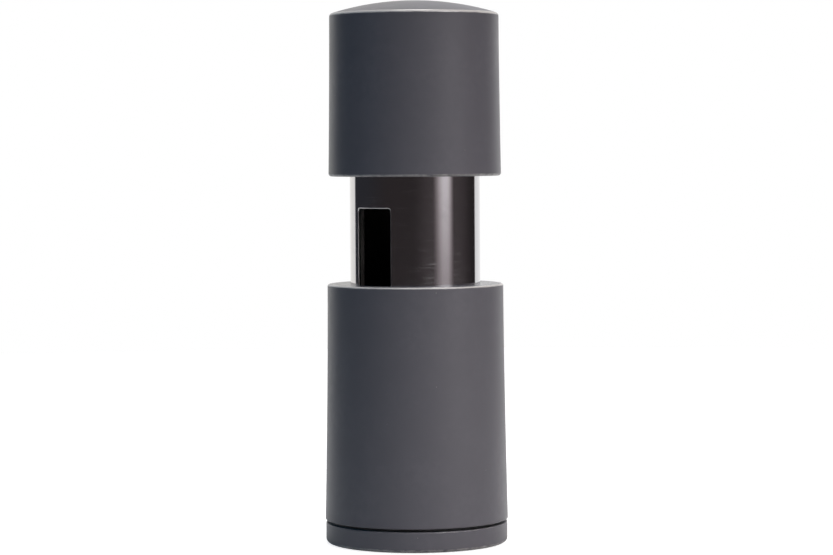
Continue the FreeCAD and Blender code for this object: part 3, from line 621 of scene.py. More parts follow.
def shared_group(name):
    """Shader node group of a pattern, made on its first use. Its first input is the vector Position."""
    if name in bpy.data.node_groups:
        return bpy.data.node_groups[name]
    pattern = PATTERNS[name]
    tree = bpy.data.node_groups.new(name, "ShaderNodeTree")
    tree.interface.new_socket("Position", in_out="INPUT", socket_type="NodeSocketVector")
    for socket, default in pattern.inputs.items():
        made = tree.interface.new_socket(socket, in_out="INPUT", socket_type="NodeSocketFloat")
        made.default_value = default
    for socket in pattern.outputs:
        tree.interface.new_socket(socket, in_out="OUTPUT", socket_type="NodeSocketFloat")
    given = tree.nodes.new("NodeGroupInput").outputs
    results = pattern.maker(*(Field(given[socket]) for socket in ("Position", *pattern.inputs)))
    wanted = tree.nodes.new("NodeGroupOutput").inputs
    for socket, result in zip(pattern.outputs, results):
        put(result, wanted[socket])
    return tree


def placed(name, position, **values):
    """Output field of a pattern placed in a material with its own values, or a list of several."""
    inputs = {"Position": position, **values}
    made = add_node(position.tree, "ShaderNodeGroup", inputs, node_tree=shared_group(name))
    fields = [Field(socket) for socket in made.outputs]
    return fields if len(fields) > 1 else fields[0]


# ---------------------------------------------------------------- finishes
# Each takes the position that its patterns read and the colours, and returns what its shader's sockets get.

Blank = namedtuple("Blank", "material shader output position")
GREY_DUST = (0.5, 0.48, 0.44)
BRIGHT_DUST = (0.8, 0.78, 0.75)
DARK_DUST = (0.35, 0.33, 0.30)
WHOLE_MASK = (0.0, 1.0)
MOST_NOISE = (0.2, 0.8)
SEAT_DEPTH = 0.02 * MM
ROLLED_LINES = (60.0, 9000.0, 60.0)
CRYSTALS_PER_METRE = 2200.0


def blank(name):
    """Node material with its shader, and the Object coordinates that its patterns read."""
    material = bpy.data.materials.new(name)
    material.use_nodes = True
    tree = material.node_tree
    tree.nodes.clear()
    shader = tree.nodes.new("ShaderNodeBsdfPrincipled")
    output = tree.nodes.new("ShaderNodeOutputMaterial")
    tree.links.new(shader.outputs[0], output.inputs[0])
    position = Field(tree.nodes.new("ShaderNodeTexCoord").outputs["Object"])
    return Blank(material, shader, output, position)


def feed(shader, **values):
    """Fields linked to the shader's own sockets, and constants set on them."""
    for name, value in values.items():
        put(value, shader.inputs[name.replace("_", " ")])


def soft_touch_finish(position, colours):
    """Charcoal soft-touch coating: fine sprayed grain, faint hand marks, pale rims that are partly rubbed and
    partly a painted highlight, and a little dust.

    The flat top of the shoulder is smoother, because the mouth of the knob turns on it.
    """
    marks = placed("Handling marks", position, Size=16 * MM)
    wear_and_highlight = placed("Edge wear and highlight", position, Patch=3 * MM, Reach=0.7)
    dust = placed("Dust", position, Cell=3.2 * MM, Speck=0.035, Share=0.12)
    grain = placed("Surface grain", position, Size=0.28 * MM)
    tone = mottled(marks, colours.soft_touch, 0.97, 1.08)
    # Painted highlight: the rims turn pale towards the rim colour, most the wide upward-facing ones, as the
    # overhead lamp would light them; partly this is rubbed coating.
    tone = blend(wear_and_highlight * 0.95, tone, colours.rim_highlight_and_rubbing)
    seat = calculate("COMPARE", axes(position)[2], BODY.high, SEAT_DEPTH)
    return dict(
        Base_Color=blend(dust * 0.45, tone, GREY_DUST),
        Roughness=ramp(marks, WHOLE_MASK, (0.40, 0.36)) - (wear_and_highlight * 0.16 + seat * 0.16),
        Normal=bump(grain, 0.008 * MM),
        Specular_IOR_Level=0.42, Sheen_Weight=0.05, Sheen_Roughness=0.5,
    )


def moulded_finish(position, tone, roughness, grain_size, grain_depth):
    """Bare moulded plastic: spark-eroded grain, uneven gloss, and paler edges that are partly rubbed and partly a
    painted highlight on upper rounds.
    """
    marks = placed("Handling marks", position, Size=9 * MM)
    wear_and_highlight = placed("Edge wear and highlight", position, Patch=2 * MM, Reach=0.4)
    grain = placed("Surface grain", position, Size=grain_size)
    return dict(
        # Partly painted highlight: edges turn paler, more on wide upward-facing rounds, and partly this is rubbed
        # plastic.
        Base_Color=blend(wear_and_highlight * 0.5, mottled(marks, tone, 0.9, 1.25), shade(tone, 2.2)),
        Roughness=ramp(marks, WHOLE_MASK, (roughness + 0.05, roughness - 0.07)),
        Normal=bump(grain, grain_depth),
    )


def seam_plastic_finish(position, colours):
    """Satin plastic of the cup in the seam."""
    return moulded_finish(
        position, colours.seam_plastic, roughness=0.45, grain_size=0.2 * MM, grain_depth=0.004 * MM
    )


def chamber_plastic_finish(position, colours):
    """Smoother plastic of the nut chamber."""
    return moulded_finish(
        position, colours.chamber_plastic, roughness=0.36, grain_size=0.25 * MM, grain_depth=0.003 * MM
    )


def frame_plastic_finish(position, colours):
    """Coarser plastic of the carriers and the guide tube."""
    return moulded_finish(
        position, colours.frame_plastic, roughness=0.5, grain_size=0.3 * MM, grain_depth=0.006 * MM
    )


def polished_steel_finish(position, colours):
    """Polished tube: fine lines round it from the polishing wheel, a few scratches and faint smears."""
    lines, scratches = placed("Ring scratches", position, Spacing=0.2 * MM, Length=16 * MM, Share=0.3)
    wear_and_highlight = placed("Edge wear and highlight", position, Patch=5 * MM, Reach=0.9)
    marks = placed("Handling marks", position, Size=11 * MM)
    dust = placed("Dust", position, Cell=2.4 * MM, Speck=0.04, Share=0.10)
    tone = mottled(marks, colours.polished_steel, 1.0, 0.95)
    rough = ramp(lines, MOST_NOISE, (0.055, 0.085)) + scratches * 0.12
    return dict(
        Base_Color=blend(dust * 0.5, tone, BRIGHT_DUST),
        Roughness=rough + wear_and_highlight * 0.25 + marks * 0.04,
        Normal=bump(lines - scratches * 0.3, 0.00006 * MM),
        Metallic=1.0,
    )


def blade_steel_finish(position, colours):
    """Etched sheet steel: rolled lines one way, with matt patches from the etching bath."""
    stretch = {"Vector": position, "Scale": ROLLED_LINES}
    drawn = Field(add_node(position.tree, "ShaderNodeMapping", stretch).outputs[0])
    rolled = noise(drawn, 1.0, roughness=0.6)
    patches = placed("Handling marks", position, Size=6 * MM)
    return dict(
        Base_Color=mottled(patches, colours.blade_steel, 1.0, 0.72),
        Roughness=ramp(rolled, MOST_NOISE, (0.18, 0.32)) + patches * 0.12,
        Normal=bump(rolled, 0.0015 * MM),
        Metallic=1.0,
    )


def glide_nylon_finish(position, colours):
    """Natural nylon: milky, a little see-through near its edges, with turning lines round it."""
    lines, _ = placed("Ring scratches", position, Spacing=0.15 * MM, Length=20 * MM, Share=0.1)
    marks = placed("Handling marks", position, Size=5 * MM)
    return dict(
        Base_Color=mottled(marks, colours.glide_nylon, 1.0, 0.85),
        Roughness=ramp(marks, WHOLE_MASK, (0.32, 0.42)),
        Normal=bump(lines, 0.003 * MM),
        Subsurface_Weight=0.15, Subsurface_Scale=1 * MM,
    )


def screw_steel_finish(position, colours):
    """Bright zinc plating: crystalline patches of slightly different gloss."""
    _, crystal = cells(position, CRYSTALS_PER_METRE)
    grain = placed("Surface grain", position, Size=0.12 * MM)
    return dict(
        Base_Color=mottled(crystal, colours.screw_steel, 0.86, 1.1),
        Roughness=ramp(crystal, WHOLE_MASK, (0.22, 0.36)),
        Normal=bump(grain, 0.002 * MM),
        Metallic=1.0,
    )


def spring_steel_finish(position, colours):
    """Drawn wire: oil-dark patches and fine die lines along the coil."""
    lines, _ = placed("Ring scratches", position, Spacing=0.06 * MM, Length=6 * MM, Share=0.3)
    marks = placed("Handling marks", position, Size=4 * MM)
    return dict(
        Base_Color=mottled(marks, colours.spring_steel, 1.0, 0.6),
        Roughness=ramp(lines, MOST_NOISE, (0.22, 0.38)),
        Normal=bump(lines, 0.001 * MM),
        Metallic=1.0,
    )


def rubber_finish(position, colours):
    """Matt rubber: fine moulded grain with a grey bloom in patches."""
    bloom = placed("Handling marks", position, Size=7 * MM)
    dust = placed("Dust", position, Cell=1.6 * MM, Speck=0.05, Share=0.2)
    grain = placed("Surface grain", position, Size=0.2 * MM)
    return dict(
        Base_Color=blend(dust * 0.4, mottled(bloom, colours.rubber, 1.0, 2.0), DARK_DUST),
        Roughness=ramp(bloom, WHOLE_MASK, (0.72, 0.88)),
        Normal=bump(grain, 0.01 * MM),
    )


FINISHES = {
    "soft_touch": soft_touch_finish,
    "seam_plastic": seam_plastic_finish,
    "polished_steel": polished_steel_finish,
    "chamber_plastic": chamber_plastic_finish,
    "frame_plastic": frame_plastic_finish,
    "blade_steel": blade_steel_finish,
    "glide_nylon": glide_nylon_finish,
    "screw_steel": screw_steel_finish,
    "spring_steel": spring_steel_finish,
    "rubber": rubber_finish,
}


def finish_for(slot):
    """Material of a record slot. The slot's plain import is renamed first, and the finish made once."""
    known = bpy.data.materials.get(slot)
    if known is not None and known.get("finished"):
        return known
    if known is not None:
        known.name = slot + "_plain"
    made = blank(slot)
    feed(made.shader, **FINISHES[slot](made.position, bpy.context.scene.mill_colours))
    made.material["finished"] = True
    return made.material


# ---------------------------------------------------------------- pieces

# The gap of a fit, the gap in the seam, the thickness of the cup's floor, how far the straight bore of the
# barrel reaches past the cup, and the fillet between the knob's wall and its roof.
FIT = 0.05 * MM
SEAM_GAP = 0.3 * MM
CUP_FLOOR = 1.6 * MM
CUP_HEADROOM = 0.4 * MM
ROOF_FILLET = 0.6 * MM

# How far below the top of a CAD node its rim is measured.
RIM_DEPTH = 0.1 * MM

# How far the block of the grid round a window reaches past it, and the widest spacing of its rows.
WINDOW_BLOCK = 1.8 * MM
WINDOW_ROW = 0.7 * MM

# Shares of the pitch of the foot pad's grooves, and the round of their edges.
FIRST_GROOVE = 1.5
PLAIN_RIM = 0.8
GROOVE_MOUTH = 0.20
GROOVE_BED = 0.12
GROOVE_ROUND = 0.06 * MM

# How many rows or columns make a surface smooth.
BARREL_ROWS = 44
BARREL_BORE_ROWS = 36
KNOB_ROWS = 34
KNOB_BORE_ROWS = 30
DOME_ROWS = 32
ROOF_ROWS = 30
POST_SIDES = 32
CORD_SIDES = 28
WIRE_SIDES = 16
STEPS_PER_COIL = 48

SCREW_COUNT = 3

# How much closer together the spring's working coils are at their ends.
COILS_EASED = 0.25


def waypoints(radii, levels):
    """Corners without a round at each radius and level, which a smooth curve passes through."""
    return np.stack(np.broadcast_arrays(radii, levels, 0.0), 1)


def flared(levels, top, foot, taper, wall=0.0):
    """Corners down a side, inside a wall: the radius grows by the flare times a power of the depth.

    top and foot are the radius and level of the ends of the outside, where the depth is 0 and 1.
    """
    depth = (top[1] - levels) / (top[1] - foot[1])
    return waypoints(top[0] + (foot[0] - top[0]) * depth ** taper - wall, levels)


def barrel_outline(sizes):
    """Barrel in section: a flared tube with a lip round the shoulder and a straight bore at its foot."""
    top, foot, wall = (sizes.barrel_top, BODY.high), (BODY.outer, BODY.low), sizes.barrel_wall
    lip_level = BODY.high - sizes.barrel_lip
    bore = BODY.outer - wall
    bore_top = CUP.high + CUP_HEADROOM
    outer = flared(np.linspace(BODY.low, BODY.high, BARREL_ROWS)[1:-1], top, foot, sizes.barrel_taper)
    inner = flared(np.linspace(lip_level, bore_top, BARREL_BORE_ROWS), top, foot, sizes.barrel_taper, wall)
    corners = [
        (bore, BODY.low, sizes.arris),
        (BODY.outer, BODY.low, sizes.barrel_foot_round),
        *outer,
        (sizes.barrel_top, BODY.high, sizes.barrel_top_round),
        (BODY.inner, BODY.high, sizes.arris),
        (BODY.inner, lip_level, sizes.arris),
        (inner[0, 0], lip_level, 2 * sizes.arris),
        *inner[1:-1],
        (inner[-1, 0], bore_top, sizes.arris / 3),
        (bore, bore_top, sizes.arris / 3),
    ]
    return outline(corners, sizes.arc_steps, True)


def dome(radii, rim_radius, rim_level, sphere):
    """Corners along a spherical dome that meets a rim: the root of the sphere's radius and theirs."""
    levels = rim_level + np.sqrt(sphere ** 2 - radii ** 2) - math.sqrt(sphere ** 2 - rim_radius ** 2)
    return waypoints(radii, levels)


def knob_sections(sizes):
    """Knob in section, and the level of its roof at the axis: a domed cup on a slightly flared side."""
    sphere, wall = sizes.knob_dome, sizes.knob_wall
    rim_level = KNOB.high - (sphere - math.sqrt(sphere ** 2 - sizes.knob_rim ** 2))
    roof_level = rim_level - sizes.knob_roof
    bore = KNOB.outer - wall
    bore_top = RETAINER.high
    top, foot = (sizes.knob_rim, rim_level), (KNOB.outer, KNOB.low)
    outer = flared(np.linspace(KNOB.low, rim_level, KNOB_ROWS)[1:-1], top, foot, sizes.knob_taper)
    inner = flared(np.linspace(roof_level, bore_top, KNOB_BORE_ROWS), top, foot, sizes.knob_taper, wall)
    roof_edge = inner[0, 0]
    roof = dome(np.linspace(0, roof_edge, ROOF_ROWS)[:-1], roof_edge, roof_level, sphere - sizes.knob_roof)
    corners = [
        *roof,
        (roof_edge, roof_level, ROOF_FILLET),
        *inner[1:-1],
        (inner[-1, 0], bore_top, sizes.arris / 3),
        (bore, bore_top, sizes.arris / 3),
        (bore, KNOB.low, 2 * sizes.arris),
        (KNOB.outer, KNOB.low, sizes.knob_mouth_round),
        *outer,
        (sizes.knob_rim, rim_level, sizes.knob_rim_round),
        *dome(np.linspace(sizes.knob_rim, 0, DOME_ROWS)[1:], sizes.knob_rim, rim_level, sphere),
    ]
    return outline(corners, sizes.arc_steps, False), roof[0, 1]


def post(radius, low, high, sizes):
    """Solid round post, whose ends are closed at the axis."""
    corners = [(0, low, 0), (radius, low, sizes.arris), (radius, high, sizes.arris), (0, high, 0)]
    return turned(outline(corners, sizes.arc_steps, False), POST_SIDES, False)


def knob_posts(roof, sizes):
    """Posts and rib in the roof for the guide tube, and bosses above the retainer for its screws.

    Each boss is drawn out to the middle of the wall, and each post ends in the middle of the roof.
    """
    tube_screws, collar_screws = span("guide_tube_screws"), span("collar_screws")
    tube_circle = (tube_screws.inner + tube_screws.outer) / 2
    collar_circle = (collar_screws.inner + collar_screws.outer) / 2
    tall = post(sizes.roof_post, GUIDE.high, roof + sizes.knob_roof / 2, sizes)
    short = post(sizes.collar_boss, RETAINER.high, RETAINER.high + sizes.collar_boss_height, sizes)
    web = sizes.knob_wall / 2
    shells = []
    for turn in sizes.knob_screws_facing + 2 * math.pi * np.arange(SCREW_COUNT) / SCREW_COUNT:
        x, y = math.sin(turn), -math.cos(turn)
        boss = drawn_out(short, web * x, web * y)
        shells.append(moved(tall, tube_circle * x, tube_circle * y))
        shells.append(moved(boss, collar_circle * x, collar_circle * y))
    inner, outer = GUIDE.outer - sizes.guide_wall, GUIDE.outer
    places = (inner, GUIDE.high), (outer, GUIDE.high), (outer, roof), (inner, roof)
    rib = [(*place, sizes.arris) for place in places]
    shells.append(turned(outline(rib, sizes.arc_steps, True), sizes.segments, True))
    return shells


Window = namedtuple("Window", "outer inner half_width low high corner outer_arris frame")


def loading_window(outer, inner, margin, corner, outer_arris, sizes):
    """Window of a tube, which is a margin larger all round, and the levels of the rows round it."""
    half_width = outer * sizes.window_width / 2 + margin
    low = BODY.high - sizes.window_sill - margin
    high = BODY.high + sizes.window_height + margin
    window = Window(outer, inner, half_width, low, high, corner, outer_arris, WINDOW_BLOCK)
    reach = high - low + 2 * WINDOW_BLOCK
    return window, np.linspace(low - WINDOW_BLOCK, high + WINDOW_BLOCK, 1 + int(reach / WINDOW_ROW))


def windowed_tube(foot, top, window, levels, sizes):
    """Tube with a window, between the corners of its foot and its top level."""
    corners = [
        *foot,
        *waypoints(window.outer, levels),
        (window.outer, top, sizes.arris),
        (window.inner, top, sizes.arris),
        *waypoints(window.inner, levels[::-1]),
    ]
    return windowed(corners, levels, window, sizes)


def sleeve_shell(sizes):
    """Thin polished tube with the loading window, whose corner is measured halfway through the wall."""
    outer, inner, arris = SLEEVE.outer, SLEEVE.inner, sizes.arris
    corner = sizes.window_corner * outer / ((outer + inner) / 2)
    window, levels = loading_window(outer, inner, 0, corner, sizes.window_arris, sizes)
    foot = [(inner, SLEEVE.low, arris), (outer, SLEEVE.low, arris)]
    return windowed_tube(foot, SLEEVE.high, window, levels, sizes)


def chamber_shell(sizes):
    """Inner tube with a foot flange and its own slightly larger window."""
    outer, inner, arris = SLEEVE.inner - FIT, CHAMBER.inner, sizes.arris
    margin = sizes.window_margin
    window, levels = loading_window(outer, inner, margin, sizes.window_corner + margin, arris, sizes)
    flange, flange_top = CHAMBER.outer, SLEEVE.low
    places = (inner, CHAMBER.low), (flange, CHAMBER.low), (flange, flange_top), (outer, flange_top)
    return windowed_tube([(*place, arris) for place in places], CHAMBER.high, window, levels, sizes)


def cap_outline(sizes):
    """Outer cap in section, with the recess of the foot pad below and the seat of the cup above."""
    pad_top = PAD.high
    seat = CAP.outer - sizes.cap_wall
    corners = [
        (0, pad_top, 0),
        (CAP.inner, pad_top, sizes.arris),
        (CAP.inner, CAP.low, sizes.arris),
        (CAP.outer, CAP.low, sizes.cap_foot_round),
        (CAP.outer, CAP.high, sizes.cap_top_round),
        (seat, CAP.high, sizes.arris),
        (seat, CUP.low, 2 * sizes.arris),
        (0, CUP.low, 0),
    ]
    return outline(corners, sizes.arc_steps, False)


def cup_outline(sizes):
    """Inner cup in section: seat, seam collar, and plug with the groove of the seal."""
    arris = sizes.arris
    seat = span("base_cap", CAP.high - RIM_DEPTH).inner - FIT
    floor_top = CUP.low + CUP_FLOOR
    seam_top = BODY.low - SEAM_GAP
    plug = span("cap_insert", CUP.high - RIM_DEPTH).outer
    groove = SEAL.inner - FIT
    groove_low, groove_high = SEAL.low - FIT, SEAL.high + FIT
    corners = [
        (0, CUP.low, 0),
        (seat, CUP.low, arris),
        (seat, CAP.high, arris),
        (CUP.outer, CAP.high, arris),
        (CUP.outer, seam_top, 0.7 * arris),
        (plug, seam_top, 0.7 * arris),
        (plug, groove_low, 0.7 * arris),
        (groove, groove_low, arris),
        (groove, groove_high, arris),
        (plug, groove_high, 0.7 * arris),
        (plug, CUP.high, 3 * arris),
        (CUP.inner, CUP.high, 3 * arris),
        (CUP.inner, floor_top, 6 * arris),
        (0, floor_top, 0),
    ]
    return outline(corners, sizes.arc_steps, False)


def seal_outline():
    """Circle of the O-ring's cord."""
    middle, level = (SEAL.inner + SEAL.outer) / 2, (SEAL.low + SEAL.high) / 2
    cord = (SEAL.high - SEAL.low) / 2
    turn = 2 * math.pi * np.arange(CORD_SIDES) / CORD_SIDES
    away = np.stack([np.cos(turn), np.sin(turn)], 1)
    return (middle, level) + cord * away, away, np.zeros(len(turn))


def pad_outline(sizes):
    """Foot pad in section: flat on top, with concentric grooves of sloping sides below."""
    pitch, depth = sizes.pad_rib_pitch, sizes.pad_rib_depth
    centres = np.arange(FIRST_GROOVE * pitch, PAD.outer - PLAIN_RIM * pitch, pitch)[:, None]
    radii = centres + pitch * np.array([-GROOVE_MOUTH, -GROOVE_BED, GROOVE_BED, GROOVE_MOUTH])
    levels = [0, depth, depth, 0]
    grooves = np.stack(np.broadcast_arrays(radii, levels, GROOVE_ROUND), -1).reshape(-1, 3)
    corners = [
        (0, PAD.low, 0),
        *grooves,
        (PAD.outer, PAD.low, sizes.arris),
        (PAD.outer, PAD.high, sizes.arris),
        (0, PAD.high, 0),
    ]
    return outline(corners, sizes.arc_steps, False)


def spring_path(coils, wire):
    """Helix of the middle of a wire of this radius.

    The end coils rise by one wire, and the others share the rest of the height, a little closer at the ends.
    """
    low, high = SPRING.low + wire / 2, SPRING.high - wire / 2
    share = np.linspace(0, 1, int(coils * STEPS_PER_COIL) + 1)
    closed = 1 / coils
    middle = np.clip((share - closed) / (1 - 2 * closed), 0, 1)
    eased = middle - COILS_EASED * np.sin(2 * math.pi * middle) / (2 * math.pi)
    first = wire * 2 * np.clip(share / closed, 0, 1)
    last = wire * 2 * np.clip((share - 1 + closed) / closed, 0, 1)
    levels = low + first + last + (high - low - 4 * wire) * eased
    radius = SPRING.outer - wire
    turn = 2 * math.pi * coils * share
    return np.stack([radius * np.cos(turn), radius * np.sin(turn), levels], 1)


# ---------------------------------------------------------------- operators

class MILL_OT_barrel(bpy.types.Operator):
    """Soft-touch barrel that the sleeve stands in"""

    bl_idname = "mill.barrel"
    bl_label = "Barrel"

    def execute(self, context):
        sizes = context.scene.mill_sizes
        shell = turned(barrel_outline(sizes), sizes.segments, True)
        add_piece("barrel", shell, "housing", "soft_touch", ["body_shell"])
        return {"FINISHED"}


class MILL_OT_knob(bpy.types.Operator):
    """Domed soft-touch knob, with the posts and bosses inside it"""

    bl_idname = "mill.knob"
    bl_label = "Knob"

    def execute(self, context):
        sizes = context.scene.mill_sizes
        section, roof = knob_sections(sizes)
        shells = [turned(section, sizes.segments, False), *knob_posts(roof, sizes)]
        add_piece("knob", joined(shells), "knob", "soft_touch", ["knob_shell"])
        return {"FINISHED"}


class MILL_OT_tubes(bpy.types.Operator):
    """Polished sleeve and the inner tube behind it, each with its window"""

    bl_idname = "mill.tubes"
    bl_label = "Sleeve and inner tube"

    def execute(self, context):
        sizes = context.scene.mill_sizes
        add_piece("sleeve", sleeve_shell(sizes), "housing", "polished_steel", ["steel_sleeve"])
        add_piece("inner_tube", chamber_shell(sizes), "housing", "chamber_plastic", ["chamber_tube"])
        return {"FINISHED"}


class MILL_OT_base(bpy.types.Operator):
    """Base cap with its inner cup, seal and foot pad"""

    bl_idname = "mill.base"
    bl_label = "Base cap"

    def execute(self, context):
        sizes = context.scene.mill_sizes
        count = sizes.segments
        add_piece("cap", turned(cap_outline(sizes), count, False), "cap", "soft_touch", ["base_cap"])
        add_piece("cup", turned(cup_outline(sizes), count, False), "cap", "seam_plastic", ["cap_insert"])
        add_piece("seal", turned(seal_outline(), count, True), "cap", "rubber", ["cap_seal"])
        add_piece("pad", turned(pad_outline(sizes), count, False), "cap", "rubber", ["foot_pad"])
        return {"FINISHED"}


class MILL_OT_spring(bpy.types.Operator):
    """Pusher spring with its ends ground flat"""

    bl_idname = "mill.spring"
    bl_label = "Pusher spring"

    def execute(self, context):
        sizes = context.scene.mill_sizes
        wire = (SPRING.outer - SPRING.inner) / 2
        coil = swept(spring_path(sizes.spring_coils, wire), wire, WIRE_SIDES)
        coil.points[:, 2] = np.clip(coil.points[:, 2], SPRING.low, SPRING.high)
        piece = add_piece("spring", coil, "knob", "spring_steel", ["pusher_spring"])
        press = next(joint for joint in frame["joints"] if joint["name"] == "pusher_press")
        keep = 1 - press["range_m"][1] / (SPRING.high - SPRING.low)
        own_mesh(piece)
        return {"FINISHED"}


class MILL_OT_finishes(bpy.types.Operator):
    """Finishes of the CAD nodes that are shown as they are"""

    bl_idname = "mill.finishes"
    bl_label = "Finishes"

    def execute(self, context):
        slots = {part["node"]: part["material_slot"] for part in frame["record"]["subparts"]}
        for name, shown in frame["nodes"].items():
            if not shown.hide_render:
                shown.material_slots[0].link = "OBJECT"
                shown.material_slots[0].material = finish_for(slots[name])
        return {"FINISHED"}


class MILL_OT_stage(bpy.types.Operator):
    """Pale floor, soft lamps, white surroundings and the camera"""

    bl_idname = "mill.stage"
    bl_label = "Stage"

    def execute(self, context):
        stage = context.scene.mill_stage
        add_floor(stage, context.scene.mill_colours)
        add_surroundings(stage)
        key = add_lamp("key_lamp", stage.key_power, KEY_SIZE, (stage.key_bearing, stage.key_height), KEY_TINT)
        key.rotation_euler.x -= stage.key_feather
        fill = add_lamp("fill_lamp", stage.fill_power, FILL_SIZE, FILL_DIRECTION, FILL_TINT)
        fill.visible_glossy = False
        top = add_lamp("top_lamp", stage.top_power, TOP_SIZE, OVERHEAD, TOP_TINT)
        for lamp in (key, fill, top):
            lamp.data.spread = stage.lamp_spread
        add_camera(stage)
        context.scene.view_settings.view_transform = "Standard"
        return {"FINISHED"}


# ---------------------------------------------------------------- stage

LAMP_DISTANCE = 1.4
LAMP_AIM = 0.09
KEY_SIZE = 0.9
FILL_SIZE = 0.5
TOP_SIZE = 0.6
FILL_DIRECTION = (math.radians(-60), math.radians(20))
OVERHEAD = (0.0, math.pi / 2)
KEY_TINT = (1.0, 0.985, 0.985)
FILL_TINT = (0.1, 0.58, 1.0)
TOP_TINT = (1.0, 0.98, 0.96)
SENSOR = 36.0

# The floor as reflections see it: its light in front of the mill, its share of the floor's glow behind the
# mill, and the bearings between which it changes.
FLOOR_IN_FRONT = 0.05
FLOOR_BEHIND = 0.6
FLOOR_CHANGES = np.radians([80.0, 140.0])
FLOOR_SMEARS = 120 * MM
FLOOR_SIDES = 96

# Share of the floor's radius from which the camera sees it fade to pure white.
FLOOR_FADES = 0.3

# What polished surfaces mirror. A pair is where a change starts and ends: bearings from the front towards
# the right, for the wall to either side, or heights above the horizon.
WALL_EDGE = np.radians([131.0, 134.0])
WALL_SOFTENS = np.radians([4.0, 25.0])
WALL_SOFTNESS = math.radians(55.0)
SOFTBOX_LEFT = np.radians([30.5, 53.5])
SOFTBOX_RIGHT = np.radians([58.5, 73.5])
SOFTBOX_FOOT = np.radians([-5.5, 0.8])
SOFTBOX_BRIGHTENS = np.radians([3.0, 20.0])
SOFTBOX_TOP = np.radians([40.0, 55.0])
ROOM_BRIGHTENS = np.radians([-5.0, 30.0])
ROOM_DARKENS = np.radians([80.0, 125.0])

# What the softbox gains higher up, how bright the room is at the right, and what it loses further round.
SOFTBOX_GAIN = 1.2
ROOM_AT_RIGHT = 1.9
ROOM_LOSS = -1.1

# Tints at the left and at the right, and the bearings in radians between which each pair changes.
WHITE = (1.0, 1.0, 1.0)
LIGHT_TINTS = (0.55, 0.78, 1.0), (1.0, 0.98, 0.97)
LIGHT_CHANGES = (-1.2, 0.6)
WALL_TINTS = (1.0, 0.985, 0.955), WHITE
WALL_CHANGES = (-0.1, 0.1)
ROOM_TINTS = (0.92, 0.94, 1.12), (1.0, 0.84, 0.88)
ROOM_CHANGES = (-1.8, -0.7)
SOFTBOX_TINT = (1.0, 0.968, 0.995)


def light_path(tree):
    """Whether the camera looks, and whether a reflection or a see-through surface does."""
    rays = add_node(tree, "ShaderNodeLightPath").outputs
    glossy, through = Field(rays["Is Glossy Ray"]), Field(rays["Is Transmission Ray"])
    return Field(rays["Is Camera Ray"]), calculate("MAXIMUM", glossy, through)


def bearing_of(x, y):
    """Angle from the front towards the right: the arc tangent of x over minus y."""
    return calculate("ARCTAN2", x, y * -1.0)


def add_floor(stage, colours):
    """Round floor. The camera sees it brighter than the lamps make it, so that it shows white.

    Reflections see it so as well, and less the further forward they look.
    """
    angles = 2 * math.pi * np.arange(FLOOR_SIDES) / FLOOR_SIDES
    mesh = bpy.data.meshes.new("floor")
    mesh.from_pydata(round_the_axis(stage.floor_radius, 0.0, angles), [], [list(range(FLOOR_SIDES))])
    floor = bpy.data.objects.new("floor", mesh)
    bpy.context.scene.collection.objects.link(floor)
    made = blank("floor")
    tree = made.material.node_tree
    smears = placed("Handling marks", made.position, Size=FLOOR_SMEARS)
    tone = mottled(smears, colours.floor, 1.0, 0.985)
    feed(made.shader, Base_Color=tone, Roughness=0.9, Specular_IOR_Level=0.1)
    camera, mirror = light_path(tree)
    far = add_node(tree, "ShaderNodeVectorMath", {0: made.position}, operation="LENGTH").outputs["Value"]
    fade = (FLOOR_FADES * stage.floor_radius, stage.floor_radius)
    seen = ramp(Field(far), fade, (stage.floor_glow, 1.0))
    x, y, _ = axes(made.position)
    bearing = calculate("ABSOLUTE", bearing_of(x, y))
    mirrored = ramp(bearing, FLOOR_CHANGES, (FLOOR_IN_FRONT, FLOOR_BEHIND * stage.floor_glow))
    glow = add_node(tree, "ShaderNodeEmission", {"Strength": camera * seen + mirror * mirrored})
    shaders = {0: Field(made.shader.outputs[0]), 1: Field(glow.outputs[0])}
    put(Field(add_node(tree, "ShaderNodeAddShader", shaders).outputs[0]), made.output.inputs[0])
    mesh.materials.append(made.material)


